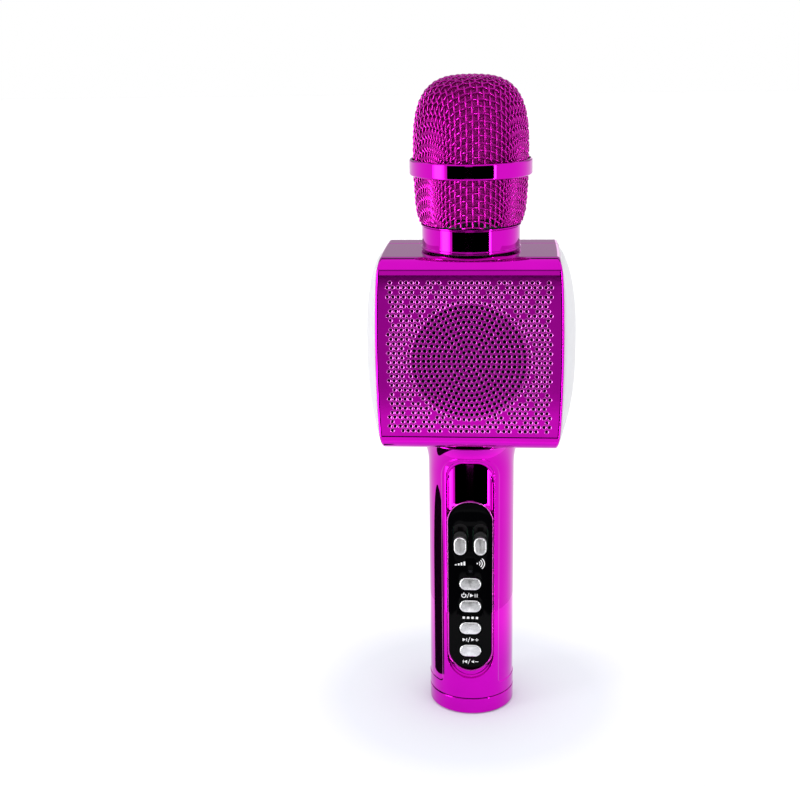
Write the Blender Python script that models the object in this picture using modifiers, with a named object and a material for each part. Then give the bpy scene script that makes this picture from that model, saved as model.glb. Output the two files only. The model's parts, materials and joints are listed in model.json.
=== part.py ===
"""Karaoke microphone: a wire-mesh head on a box-shaped loudspeaker, standing on its round handle.

Sizes are in millimetres and are turned into metres where geometry is made.
Z is up, the control panel and the loudspeaker face -Y, and the origin is the centre of the base.
"""

import math

import bmesh
import bpy
from mathutils import Euler, Matrix, Vector

MM = 0.001
GAP = 0.3                    # clearance between neighbouring pieces
WALL = 2.0                   # moulded shell wall
ROUND_STEPS = 36             # segments in a turned piece that shows
INNER_STEPS = 24             # and in one that is hidden

# Heights, from the surface the base stands on.
BASE_TOP = 6.9
BOX_BOTTOM = 115.8
BOX_TOP = 190.4
COLLAR_BOTTOM = 191.0
COLLAR_TOP = 200.5
BAND_BOTTOM = 219.0
BAND_TOP = 225.0
HEAD_TOP = 255.8

# Handle.
HANDLE_RADIUS = 17.35
FLUTE_RADIUS = 17.1          # the sides and back are slightly sunk behind the front spine
FLUTE_BOTTOM = 12.5
HANDLE_BORE = 14.8
FLARE_START = 103.0
FLARE_RADIUS = 20.2
SPINE_RADIUS = 17.3
SPINE_WIDTH = 22.8
SPINE_TOP = 109.7
SPINE_CORNER = 8.6
CHANNEL_WIDTH = 17.9
CHANNEL_BOTTOM = 16.3
CHANNEL_TOP = 108.6
CHANNEL_CORNER = 6.5
LEDGE_Y = -12.7              # floor of the channel, which the panel lies on
BULKHEAD_Y = -10.4           # front side of the bore, behind the channel floor
WINDOW_HALF_WIDTH = 7.4      # opening behind the panel
BORE_TOP = 110.5
PLUG_BORE = 15.0             # wider mouth of the bore, for the base cap's plug
BASE_PLUG_TOP = 11.5

# Control panel and what is on it.
PANEL_WIDTH = 17.3
PANEL_BOTTOM = 19.4
PANEL_TOP = 92.2
PANEL_FRONT = -14.6
PANEL_BACK = -13.0
BUTTON_WIDTH = 8.8
BUTTON_HEIGHT = 5.3
BUTTON_FRONT = -15.5
BUTTON_TRAVEL = 0.4
BUTTONS = (("power", 57.15), ("mode", 47.4), ("next", 37.7), ("previous", 27.7))
SLOT_WIDTH = 6.15
SLOT_BOTTOM = 69.1
SLOT_TOP = 82.8
SLOT_X = 4.03
KNOB_WIDTH = 5.05
KNOB_HEIGHT = 7.7
KNOB_BOTTOM = 69.6
KNOB_FRONT = -15.6
KNOB_TRAVEL = 5.0
INDICATOR_Z = 62.4
INDICATOR_HOLE = 0.95
BOARD_FRONT = -9.8
BOARD_THICKNESS = 1.6
SWITCH_SIZE = 6.0

# Box.
BOX_HALF_DEPTH = 23.0
BOX_HALF_WIDTH = 34.5        # at the corners of its ends
FRONT_CORNER = 6.0           # rounding of the long edges
REAR_CORNER = 2.5
END_BOW_DEPTH = 0.4          # how far the ends bow out half-way through the box's depth
END_BOW_HEIGHT = 1.1         # and half-way up its height
END_EASING = 1.0             # how far they draw in at the very top and bottom
LIGHT_BULGE = 4.65           # what the light covers add at their centre
LIGHT_WALL = 1.6
LIGHT_SKIRT_X = 31.0
PARTING_Y = 12.0
SPEAKER_Z = 151.5
GRILLE_HOLE = 1.5
GRILLE_PITCH = 6.4
SCREW_X = 27.2
SCREW_Z = (123.6, 182.6)
BOSS_RADIUS = 3.3
SCREW_SHANK = 1.1
SCREW_HEAD = 2.4

# Neck and head.
SPIGOT_RADIUS = 15.6
SPIGOT_BORE = 13.2
SPIGOT_TOP = 203.0
COLLAR_BORE = 16.0
COLLAR_LOW_RADIUS = 18.7
COLLAR_TOP_RADIUS = 19.2
MESH_BOTTOM = 200.8
MESH_LOW_RADIUS = 20.6
MESH_MAX_RADIUS = 22.05
MESH_MAX_Z = 226.0
MESH_WALL = 0.9
MESH_SPLIT = 221.8
CROWN_POWER = 3.1            # squareness of the domed crown
BAND_RADIUS = 23.3
BAND_BORE = 22.3
CAPSULE_RADIUS = 7.4
CAPSULE_BOTTOM = 205.6
CAPSULE_TOP = 215.0

BOX_MIDDLE = (BOX_BOTTOM + BOX_TOP) / 2
BOX_HALF_HEIGHT = (BOX_TOP - BOX_BOTTOM) / 2

FACING_FRONT = (math.pi / 2, 0.0, 0.0)           # local X, Y, Z lie along +X, +Z, -Y
ALONG_X = (math.pi / 2, 0.0, math.pi / 2)        # local X, Y, Z lie along +Y, +Z, +X
FLAT = (0.0, 0.0, 0.0)


# ---------------------------------------------------------------- scene and materials

def clear_scene():
    for item in list(bpy.data.objects):
        bpy.data.objects.remove(item, do_unlink=True)


def new_collection(name):
    collection = bpy.data.collections.new(name)
    bpy.context.scene.collection.children.link(collection)
    return collection


def new_material(name, color, roughness, metallic):
    material = bpy.data.materials.new(name)
    material.use_nodes = True
    shader = material.node_tree.nodes["Principled BSDF"]
    shader.inputs["Base Color"].default_value = (*color, 1.0)
    shader.inputs["Roughness"].default_value = roughness
    shader.inputs["Metallic"].default_value = metallic
    material.diffuse_color = (*color, 1.0)
    return material


clear_scene()
PARTS = new_collection("karaoke_microphone")
CUTTERS = new_collection("cutters")

PLATED = new_material("plated_magenta", (0.62, 0.0, 0.52), 0.06, 1.0)
MESH_METAL = new_material("mesh_magenta", (0.55, 0.01, 0.42), 0.25, 1.0)
MILKY = new_material("milky_cover", (0.86, 0.86, 0.90), 0.35, 0.0)
PANEL_BLACK = new_material("panel_black", (0.012, 0.012, 0.014), 0.08, 0.0)
SPUN = new_material("spun_aluminium", (0.80, 0.80, 0.82), 0.28, 1.0)
INNER_PLASTIC = new_material("inner_plastic", (0.05, 0.05, 0.055), 0.5, 0.0)
RUBBER = new_material("rubber", (0.03, 0.03, 0.03), 0.75, 0.0)
FOAM = new_material("foam", (0.30, 0.02, 0.22), 0.95, 0.0)
STEEL = new_material("steel", (0.60, 0.61, 0.63), 0.3, 1.0)
MAGNET = new_material("ferrite", (0.08, 0.08, 0.085), 0.55, 0.2)
PAPER = new_material("cone_paper", (0.05, 0.05, 0.05), 0.85, 0.0)
BOARD = new_material("circuit_board", (0.02, 0.16, 0.08), 0.45, 0.0)
CELL = new_material("cell_wrap", (0.05, 0.20, 0.45), 0.35, 0.0)
LENS = new_material("indicator_lens", (0.35, 0.42, 0.55), 0.15, 0.0)


# ---------------------------------------------------------------- shape helpers

def add_object(name, mesh, material=None):
    """Link an object: to the parts if it has a material, otherwise to the hidden cutters."""
    item = bpy.data.objects.new(name, mesh)
    if material is None:
        CUTTERS.objects.link(item)
        item.hide_render = True
        item.display_type = "WIRE"
    else:
        PARTS.objects.link(item)
        item.data.materials.clear()
        item.data.materials.append(material)
    return item


def turned(name, profile, material=None, closed=True, centre=(0, 0, 0), rotation=FLAT, steps=ROUND_STEPS):
    """Turn (radius, height) points, which run down the outer side, about the local Z axis."""
    points = [(radius * MM, 0.0, height * MM) for radius, height in profile]
    edges = [(i, i + 1) for i in range(len(points) - 1)]
    if closed:
        edges.append((len(points) - 1, 0))
    mesh = bpy.data.meshes.new(name)
    mesh.from_pydata(points, edges, [])
    item = add_object(name, mesh, material)
    item.location = Vector(centre) * MM
    item.rotation_euler = rotation
    screw = item.modifiers.new("turn", "SCREW")
    screw.axis = "Z"
    screw.steps = steps
    screw.render_steps = steps
    screw.use_smooth_shade = True
    screw.use_merge_vertices = True
    screw.merge_threshold = 0.00001
    return item


def tube(name, outer, inner, bottom, top, material=None, **options):
    profile = [(outer, top), (outer, bottom), (inner, bottom), (inner, top)]
    return turned(name, profile, material, **options)


def rod(name, radius, bottom, top, material=None, **options):
    profile = [(0, top), (radius, top), (radius, bottom), (0, bottom)]
    return turned(name, profile, material, closed=False, **options)


def prism(name, outlines, near, far, material=None, rotation=FACING_FRONT, centre=(0, 0, 0)):
    """Extrude flat outlines (the later ones are holes) from near to far along the local Z axis."""
    curve = bpy.data.curves.new(name, "CURVE")
    curve.dimensions = "2D"
    curve.fill_mode = "BOTH"
    curve.extrude = abs(far - near) / 2 * MM
    for outline in outlines:
        spline = curve.splines.new("POLY")
        spline.points.add(len(outline) - 1)
        for point, (across, up) in zip(spline.points, outline):
            point.co = (across * MM, up * MM, 0.0, 1.0)
        spline.use_cyclic_u = True
    flat = bpy.data.objects.new(name, curve)
    CUTTERS.objects.link(flat)
    turn = Euler(rotation).to_matrix().to_4x4()
    flat.matrix_world = Matrix.Translation(Vector(centre) * MM) @ turn @ Matrix.Translation(
        (0, 0, (near + far) / 2 * MM))
    bpy.context.view_layer.update()
    mesh = bpy.data.meshes.new_from_object(flat.evaluated_get(bpy.context.evaluated_depsgraph_get()))
    mesh.transform(flat.matrix_world)
    bpy.data.objects.remove(flat, do_unlink=True)
    solid = bmesh.new()
    solid.from_mesh(mesh)
    bmesh.ops.remove_doubles(solid, verts=solid.verts, dist=0.000002)
    bmesh.ops.recalc_face_normals(solid, faces=solid.faces)
    solid.to_mesh(mesh)
    solid.free()
    return add_object(name, mesh, material)


def block(name, low, high, material=None, bevel=0.0):
    """A box between two corners, with its edges rounded where a bevel is given."""
    solid = bmesh.new()
    bmesh.ops.create_cube(solid, size=1.0)
    size = [(b - a) * MM for a, b in zip(low, high)]
    middle = [(a + b) / 2 * MM for a, b in zip(low, high)]
    bmesh.ops.scale(solid, vec=size, verts=solid.verts)
    bmesh.ops.translate(solid, vec=middle, verts=solid.verts)
    mesh = bpy.data.meshes.new(name)
    solid.to_mesh(mesh)
    solid.free()
    item = add_object(name, mesh, material)
    if bevel:
        edge = item.modifiers.new("edges", "BEVEL")
        edge.width = bevel * MM
        edge.segments = 2
    return item


def combine(target, tools, operation):
    for tool in tools:
        change = target.modifiers.new(operation.lower(), "BOOLEAN")
        change.operation = operation
        change.solver = "EXACT"
        change.object = tool
    return target


def cut(target, *tools):
    return combine(target, tools, "DIFFERENCE")


def join(target, *tools):
    return combine(target, tools, "UNION")


def keep_inside(target, *tools):
    return combine(target, tools, "INTERSECT")


def arc(centre_x, centre_y, radius, start, end, steps):
    """Points along an arc, its angles in degrees."""
    angles = [math.radians(start + (end - start) * i / steps) for i in range(steps + 1)]
    return [(centre_x + radius * math.cos(a), centre_y + radius * math.sin(a)) for a in angles]


def circle(centre_x, centre_y, radius, steps=12):
    return arc(centre_x, centre_y, radius, 0, 360, steps)[:-1]


def rounded(left, right, bottom, top, radii, steps=5):
    """A rectangle with rounded corners, whose radii run anticlockwise from the top right."""
    first, second, third, fourth = radii
    return (arc(right - first, top - first, first, 0, 90, steps)
            + arc(left + second, top - second, second, 90, 180, steps)
            + arc(left + third, bottom + third, third, 180, 270, steps)
            + arc(right - fourth, bottom + fourth, fourth, 270, 360, steps))


def stadium(centre_x, centre_y, width, height, steps=6):
    """A slot with fully round ends."""
    radius = min(width, height) / 2 - 0.001
    return rounded(centre_x - width / 2, centre_x + width / 2,
                   centre_y - height / 2, centre_y + height / 2, [radius] * 4, steps)


def divided(outline, longest=6.0):
    """Add points on an outline's long straight stretches."""
    points = []
    for start, end in zip(outline, outline[1:] + outline[:1]):
        parts = max(1, round(math.dist(start, end) / longest))
        for i in range(parts):
            share = i / parts
            points.append((start[0] + (end[0] - start[0]) * share, start[1] + (end[1] - start[1]) * share))
    return points


# ---------------------------------------------------------------- head

def mesh_radius(height):
    """Outer radius of the mesh head: a slightly swelling basket under a squarish crown."""
    if height < MESH_MAX_Z:
        share = (MESH_MAX_Z - height) / (MESH_MAX_Z - MESH_BOTTOM)
        return MESH_MAX_RADIUS - (MESH_MAX_RADIUS - MESH_LOW_RADIUS) * share ** 2
    share = min(1.0, (height - MESH_MAX_Z) / (HEAD_TOP - MESH_MAX_Z))
    return MESH_MAX_RADIUS * (1 - share ** CROWN_POWER) ** (1 / CROWN_POWER)


def crown_profile(offset, bottom):
    """The crown from its pole down to a height, moved inwards by an offset."""
    crown = []
    for angle in (0, 16, 32, 46, 58, 69, 80):
        up = math.cos(math.radians(angle)) ** (2 / CROWN_POWER)
        out = math.sin(math.radians(angle)) ** (2 / CROWN_POWER)
        crown.append(((MESH_MAX_RADIUS - offset) * out,
                      MESH_MAX_Z + (HEAD_TOP - MESH_MAX_Z - offset) * up))
    heights = [MESH_MAX_Z, bottom] if bottom > MESH_MAX_Z - 8 else [MESH_MAX_Z, 214.0, bottom]
    return crown + [(mesh_radius(height) - offset, height) for height in heights]


def hollow_crown(name, offset, thickness, bottom, material, steps=ROUND_STEPS):
    outer = crown_profile(offset, bottom)
    inner = crown_profile(offset + thickness, bottom)
    return turned(name, outer + inner[::-1], material, closed=False, steps=steps)


def make_head():
    hollow_crown("mesh_dome", 0.0, MESH_WALL, MESH_SPLIT + GAP, MESH_METAL)
    heights = [MESH_SPLIT, 215.0, 207.5, MESH_BOTTOM]
    outer = [(mesh_radius(height), height) for height in heights]
    inner = [(radius - MESH_WALL, height) for radius, height in outer]
    turned("mesh_basket", outer + inner[::-1], MESH_METAL)
    edge = 0.7
    band = [(BAND_BORE, BAND_TOP), (BAND_RADIUS - edge, BAND_TOP), (BAND_RADIUS, BAND_TOP - edge),
            (BAND_RADIUS, BAND_BOTTOM + edge), (BAND_RADIUS - edge, BAND_BOTTOM), (BAND_BORE, BAND_BOTTOM)]
    turned("band_ring", band, PLATED)
    hollow_crown("foam_liner", MESH_WALL + GAP, 1.8, 204.5, FOAM, INNER_STEPS)
    tube("grille_ring", 18.7, 16.3, MESH_BOTTOM, 203.9, STEEL, steps=INNER_STEPS)
    lip = 0.8
    collar = [(COLLAR_BORE, COLLAR_TOP), (COLLAR_TOP_RADIUS, COLLAR_TOP),
              (COLLAR_LOW_RADIUS, COLLAR_BOTTOM + lip + 0.3), (COLLAR_LOW_RADIUS + 0.4, COLLAR_BOTTOM + lip),
              (COLLAR_LOW_RADIUS + 0.4, COLLAR_BOTTOM), (COLLAR_BORE, COLLAR_BOTTOM)]
    turned("neck_collar", collar, PLATED)


def make_neck():
    flange = 17.6
    ceiling = BOX_TOP - WALL - GAP
    spigot = [(SPIGOT_BORE, SPIGOT_TOP), (SPIGOT_RADIUS, SPIGOT_TOP), (SPIGOT_RADIUS, ceiling),
              (flange, ceiling), (flange, ceiling - 3), (SPIGOT_BORE, ceiling - 3)]
    turned("neck_spigot", spigot, INNER_PLASTIC, steps=INNER_STEPS)
    seat = CAPSULE_BOTTOM - GAP
    wire_hole = 2.5
    cup = CAPSULE_RADIUS + GAP
    wall = cup + 1.9
    skirt = SPIGOT_BORE - GAP
    cradle = [(cup, 211.5), (wall, 211.5), (wall, SPIGOT_TOP + GAP), (skirt, SPIGOT_TOP + GAP),
              (skirt, 196.0), (wire_hole, 196.0), (wire_hole, seat), (cup, seat)]
    turned("capsule_cradle", cradle, RUBBER, steps=INNER_STEPS)
    rim = 0.6
    capsule = [(0, CAPSULE_TOP), (CAPSULE_RADIUS - rim, CAPSULE_TOP), (CAPSULE_RADIUS, CAPSULE_TOP - rim),
               (CAPSULE_RADIUS, CAPSULE_BOTTOM), (0, CAPSULE_BOTTOM)]
    turned("mic_capsule", capsule, STEEL, closed=False, steps=INNER_STEPS)


# ---------------------------------------------------------------- box

def end_bow(y, z, bulge=0.0):
    """Distance from the middle plane to the bowed end of the box, plus a central bulge."""
    across = 1 - (y / BOX_HALF_DEPTH) ** 2
    height = abs(z - BOX_MIDDLE) / BOX_HALF_HEIGHT
    bow = END_BOW_DEPTH * across + END_BOW_HEIGHT * (1 - height ** 2) - END_EASING * height ** 12
    return BOX_HALF_WIDTH + bow + bulge * across * (1 - height ** 3)


def shell_section(front):
    """Half of the box's wall in the Y-Z plane, open at the parting line."""
    side, edge, radius = (-1, PARTING_Y, FRONT_CORNER) if front else (1, PARTING_Y + GAP, REAR_CORNER)
    depth = BOX_HALF_DEPTH
    outer = ([(edge, BOX_TOP)]
             + [(side * y, z) for y, z in arc(depth - radius, BOX_TOP - radius, radius, 90, 0, 6)]
             + [(side * y, z) for y, z in arc(depth - radius, BOX_BOTTOM + radius, radius, 0, -90, 6)]
             + [(edge, BOX_BOTTOM)])
    small = radius - WALL
    inner = ([(edge, BOX_BOTTOM + WALL)]
             + [(side * y, z) for y, z in arc(depth - radius, BOX_BOTTOM + radius, small, -90, 0, 6)]
             + [(side * y, z) for y, z in arc(depth - radius, BOX_TOP - radius, small, 0, 90, 6)]
             + [(edge, BOX_TOP - WALL)])
    return divided(outer + inner)


def bow_ends(item):
    for vertex in item.data.vertices:
        x, y, z = vertex.co
        vertex.co.x = math.copysign(end_bow(y / MM, z / MM) * MM, x)


def grille_holes(rings):
    """Sound holes: one in the middle, then rings of six, twelve and so on."""
    tools = []
    for ring in range(rings + 1):
        count = max(1, 6 * ring)
        for i in range(count):
            turn = 2 * math.pi * (i + 0.5) / count
            x = ring * GRILLE_PITCH * math.cos(turn)
            z = SPEAKER_Z + ring * GRILLE_PITCH * math.sin(turn)
            tools.append(circle(x, z, GRILLE_HOLE, 8))
    return tools


def round_cutter(name, x, z, radius, near, far, steps=12):
    """A cylinder along Y, from y = near to y = far."""
    return prism(name, [circle(x, z, radius, steps)], -near, -far)


def make_shells():
    front = prism("front_shell", [shell_section(True)], -1, 1, PLATED, rotation=ALONG_X)
    rear = prism("rear_shell", [shell_section(False)], -1, 1, PLATED, rotation=ALONG_X)
    bow_ends(front)
    bow_ends(rear)
    lap = 0.5
    for i, (x, z) in enumerate((x, z) for x in (-SCREW_X, SCREW_X) for z in SCREW_Z):
        join(front, round_cutter(f"front_boss_{i}", x, z, BOSS_RADIUS, lap - BOX_HALF_DEPTH + 1, PARTING_Y))
        cut(front, round_cutter(f"pilot_{i}", x, z, SCREW_SHANK + GAP, 3.0, PARTING_Y + 1))
        join(rear, round_cutter(f"rear_boss_{i}", x, z, BOSS_RADIUS, PARTING_Y + GAP, BOX_HALF_DEPTH - 1))
        cut(rear, round_cutter(f"shank_hole_{i}", x, z, SCREW_SHANK + GAP, PARTING_Y, BOX_HALF_DEPTH + 1))
        cut(rear, round_cutter(f"head_hole_{i}", x, z, SCREW_HEAD + GAP, 16.0, BOX_HALF_DEPTH + 1))
        make_screw(f"shell_screw_{i + 1}", (x, 0, z), 5.0, 16.0 + GAP, FACING_FRONT)
    inside, outside = BOX_HALF_DEPTH - WALL - 1, BOX_HALF_DEPTH + 1
    for i, outline in enumerate(grille_holes(2)):
        cut(front, prism(f"front_sound_{i}", [outline], inside, outside))
    for i, outline in enumerate(grille_holes(1)):
        cut(rear, prism(f"rear_sound_{i}", [outline], -outside, -inside))
    cut(front, rod("neck_hole", SPIGOT_RADIUS + GAP, BOX_TOP - 5, BOX_TOP + 5))
    cut(rear, rod("neck_hole_rear", SPIGOT_RADIUS + GAP, BOX_TOP - 5, BOX_TOP + 5))
    cut(front, rod("wire_hole", 5.0, BOX_BOTTOM - 5, BOX_BOTTOM + 5, steps=16))
    for side in (-1, 1):
        cut(front, rod(f"handle_screw_hole_{side}", SCREW_SHANK + GAP, BOX_BOTTOM - 5, BOX_BOTTOM + 5,
                       centre=(side * 10, 0, 0), steps=12))


def make_screw(name, centre, shank_end, seat, rotation):
    """A pan-head screw whose axis is local -Z for a front-facing turn, its head away from the shank."""
    head = 1.7
    direction = 1 if rotation == FLAT else -1
    profile = [(0, seat + head), (SCREW_HEAD * 0.7, seat + head), (SCREW_HEAD, seat + head * 0.5),
               (SCREW_HEAD, seat), (SCREW_SHANK, seat), (SCREW_SHANK, shank_end), (0, shank_end)]
    if direction < 0:
        profile = [(radius, -height) for radius, height in profile][::-1]
    return turned(name, profile, STEEL, closed=False, centre=centre, rotation=rotation, steps=12)


def light_block(name, inset, drop):
    """A block under a bulging outer face, trimmed to the box's rounded outline."""
    solid = bmesh.new()
    bmesh.ops.create_cube(solid, size=2.0)
    bmesh.ops.subdivide_edges(solid, edges=solid.edges, cuts=7, use_grid_fill=True)
    near = LIGHT_SKIRT_X - drop
    for vertex in solid.verts:
        y = vertex.co.y * BOX_HALF_DEPTH
        z = BOX_MIDDLE + vertex.co.z * BOX_HALF_HEIGHT
        far = end_bow(y, z, LIGHT_BULGE) - drop
        share = (vertex.co.x + 1) / 2
        vertex.co = Vector((near + (far - near) * share, y, z)) * MM
    mesh = bpy.data.meshes.new(name)
    solid.to_mesh(mesh)
    solid.free()
    item = add_object(name, mesh)
    depth = BOX_HALF_DEPTH - inset
    front, rear = (max(corner - inset, 0.4) for corner in (FRONT_CORNER, REAR_CORNER))
    outline = rounded(-depth, depth, BOX_BOTTOM + inset, BOX_TOP - inset, (rear, front, front, rear), 4)
    trim = prism(name + "_trim", [outline], LIGHT_SKIRT_X - 6, 60, rotation=ALONG_X)
    return keep_inside(item, trim)


def mirrored_copy(item, name, material):
    """A left-hand piece: the right-hand one's finished mesh mirrored in the X = 0 plane."""
    bpy.context.view_layer.update()
    mesh = bpy.data.meshes.new_from_object(item.evaluated_get(bpy.context.evaluated_depsgraph_get()))
    mesh.transform(Matrix.Scale(-1, 4, (1, 0, 0)) @ item.matrix_world)
    mesh.flip_normals()
    return add_object(name, mesh, material)


def make_lights():
    inset = WALL + GAP
    cover = light_block("right_light_cover", inset, 0.0)
    cut(cover, light_block("light_hollow", inset + LIGHT_WALL, LIGHT_WALL))
    CUTTERS.objects.unlink(cover)
    PARTS.objects.link(cover)
    cover.hide_render = False
    cover.display_type = "SOLID"
    cover.data.materials.append(MILKY)
    mirrored_copy(cover, "left_light_cover", MILKY)
    board = block("right_led_board", (32.2, -15, 129), (33.4, 15, 178), BOARD)
    lamp = 2.5
    for i, z in enumerate((136, 146, 161, 171)):
        for y in (-8, 8):
            join(board, block(f"lamp_{i}_{y}", (33.0, y - lamp, z - lamp), (34.4, y + lamp, z + lamp)))
    mirrored_copy(board, "left_led_board", BOARD)


def about_speaker(name, profile, material, closed=True, steps=ROUND_STEPS):
    """Turn (radius, y) points about the loudspeaker's axis, which lies along Y."""
    flipped = [(radius, -y) for radius, y in profile]
    return turned(name, flipped, material, closed, (0, 0, SPEAKER_Z), FACING_FRONT, steps)


def make_speaker():
    face = -BOX_HALF_DEPTH + WALL + GAP
    sheet = 1.0
    basket = [(26.0, face), (26.0, face + 1.5), (21.5, face + 1.5), (14.8, -9.0), (14.8, -8.0),
              (7.2, -8.0), (7.2, -8.0 - sheet), (13.8, -8.0 - sheet), (20.6, face + 0.6), (20.6, face)]
    about_speaker("speaker_basket", basket, STEEL, steps=INNER_STEPS)
    yoke = [(0, -1.5), (4.6, -1.5), (4.6, -7.7), (13.5, -7.7), (13.5, 0.5), (0, 0.5)]
    about_speaker("speaker_magnet", yoke, MAGNET, closed=False, steps=INNER_STEPS)
    rim = face + 1.9
    paper = 0.5
    cone = [(0, -14.4), (5.4, -13.0), (18.2, rim), (18.2, rim + paper), (5.4, -12.0), (4.1, -12.0),
            (4.1, -6.0), (0, -6.0)]
    about_speaker("speaker_cone", cone, PAPER, closed=False, steps=INNER_STEPS)
    surround = [(20.3, face), (20.3, face + 0.5), (19.4, face + 0.5), (18.6, face + 0.2), (18.6, face)]
    about_speaker("cone_surround", surround, RUBBER, steps=INNER_STEPS)


def make_radiator():
    back = BOX_HALF_DEPTH - WALL - GAP
    ring = [(24.0, back - 2.0), (24.0, back), (18.0, back), (18.0, back - 2.0)]
    about_speaker("radiator_frame", ring, INNER_PLASTIC, steps=INNER_STEPS)
    disc = [(0, back - 3.2), (9.0, back - 3.2), (9.0, back - 2.2), (17.6, back - 2.2), (17.6, back - 1.4),
            (0, back - 1.4)]
    about_speaker("radiator_diaphragm", disc, RUBBER, closed=False, steps=INNER_STEPS)


def make_box_inside():
    block("amplifier_board", (-23, -14, 124.0), (23, 12, 125.6), BOARD)
    block("bluetooth_module", (-20, -10, 125.9), (-8, 6, 128.4), STEEL, bevel=0.3)


# ---------------------------------------------------------------- handle

def flare(start, end, steps=6):
    """Outer profile of the handle's top, swelling in a concave sweep up to the box."""
    points = []
    for i in range(steps + 1):
        share = i / steps
        radius = FLUTE_RADIUS + (FLARE_RADIUS - FLUTE_RADIUS) * share ** 2.6
        points.append((radius, start + (end - start) * share))
    return points[::-1]


def make_handle():
    top = BOX_BOTTOM - GAP
    bottom = BASE_TOP + GAP
    step = 0.4
    outer = flare(FLARE_START, top) + [(FLUTE_RADIUS, FLUTE_BOTTOM + step), (HANDLE_RADIUS, FLUTE_BOTTOM),
                                       (HANDLE_RADIUS, bottom)]
    handle = turned("handle_shell", [(0, top)] + outer + [(0, bottom)], PLATED, closed=False)
    half = SPINE_WIDTH / 2
    corners = (SPINE_CORNER, SPINE_CORNER, 0.5, 0.5)
    spine = prism("spine", [rounded(-half, half, BASE_TOP + 2, SPINE_TOP, corners)], 5.0, 25.0)
    keep_inside(spine, rod("spine_round", SPINE_RADIUS, 0, BOX_BOTTOM))
    join(handle, spine)
    half = CHANNEL_WIDTH / 2
    end = half - 0.001
    outline = rounded(-half, half, CHANNEL_BOTTOM, CHANNEL_TOP, (CHANNEL_CORNER, CHANNEL_CORNER, end, end))
    cut(handle, prism("channel", [outline], -LEDGE_Y, 25.0))
    bore = rod("bore", HANDLE_BORE, bottom - 1, BORE_TOP)
    keep_inside(bore, block("bore_front", (-20, BULKHEAD_Y, 0), (20, 20, 120)))
    cut(handle, bore)
    cut(handle, rod("plug_bore", PLUG_BORE, bottom - 2, BASE_PLUG_TOP + GAP))
    cut(handle, rod("handle_wire_hole", 5.0, BORE_TOP - 1, top + 1, steps=16))
    window = rounded(-WINDOW_HALF_WIDTH, WINDOW_HALF_WIDTH, 23.5, 87.5, (3, 3, 3, 3), 3)
    cut(handle, prism("window", [window], -BULKHEAD_Y - 1, -LEDGE_Y + 1))
    for side in (-1, 1):
        cut(handle, rod(f"handle_pilot_{side}", SCREW_SHANK + GAP, BORE_TOP - 1, top + 1,
                        centre=(side * 10, 0, 0), steps=12))
        make_screw(f"handle_screw_{'left' if side < 0 else 'right'}", (side * 10, 0, 0),
                   BORE_TOP + 0.5, BOX_BOTTOM + WALL + GAP, FLAT)
    cut(handle, prism("charge_slot", [stadium(0, 22.5, 9.6, 3.9, 3)], -25, -13))
    cut(handle, prism("audio_hole", [circle(0, 31.5, 3.4, 12)], -25, -13))


def make_base():
    edge = 0.9
    plug = PLUG_BORE - GAP
    inner = plug - 2.3
    floor = 2.6
    profile = [(inner, BASE_PLUG_TOP), (plug, BASE_PLUG_TOP), (plug, BASE_TOP),
               (HANDLE_RADIUS, BASE_TOP), (HANDLE_RADIUS, edge), (HANDLE_RADIUS - edge * 0.3, edge * 0.3),
               (HANDLE_RADIUS - edge, 0), (0, 0), (0, floor), (inner, floor)]
    turned("base_cap", profile, PLATED)


def make_panel():
    holes = [stadium(side * SLOT_X, (SLOT_BOTTOM + SLOT_TOP) / 2, SLOT_WIDTH, SLOT_TOP - SLOT_BOTTOM)
             for side in (-1, 1)]
    holes += [stadium(0, z, BUTTON_WIDTH + 2 * GAP, BUTTON_HEIGHT + 2 * GAP) for _, z in BUTTONS]
    holes.append(circle(0, INDICATOR_Z, INDICATOR_HOLE, 10))
    middle = (PANEL_BOTTOM + PANEL_TOP) / 2
    outline = stadium(0, middle, PANEL_WIDTH, PANEL_TOP - PANEL_BOTTOM, 8)
    prism("control_panel", [outline] + holes, -PANEL_FRONT, -PANEL_BACK, PANEL_BLACK)
    rod("indicator_lens", INDICATOR_HOLE - 0.25, 12.0, -PANEL_FRONT - 0.1, LENS,
        centre=(0, 0, INDICATOR_Z), rotation=FACING_FRONT, steps=10)


def make_button(name, z):
    """A stadium cap with a flange that keeps it behind the panel."""
    flange_front = -PANEL_BACK - GAP
    cap = prism(f"{name}_button", [stadium(0, z, BUTTON_WIDTH, BUTTON_HEIGHT)],
                flange_front - 0.3, -BUTTON_FRONT, SPUN)
    join(cap, prism(f"{name}_flange", [stadium(0, z, BUTTON_WIDTH + 2.2, BUTTON_HEIGHT + 2.2)],
                    flange_front - 0.7, flange_front))
    move_origin(cap, (0, BUTTON_FRONT, z))
    half = SWITCH_SIZE / 2
    board = BOARD_FRONT - GAP / 3
    switch = block(f"{name}_switch", (-half, board - 1.0, z - half), (half, board, z + half), INNER_PLASTIC)
    join(switch, rod(f"{name}_stem", 1.6, -board + 0.5, -board + 1.35, centre=(0, 0, z),
                     rotation=FACING_FRONT, steps=12))


def move_origin(item, centre):
    """Put a moving piece's origin on its joint's axis without moving its shape."""
    offset = Vector(centre) * MM
    item.data.transform(Matrix.Translation(-offset))
    item.location = offset


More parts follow.
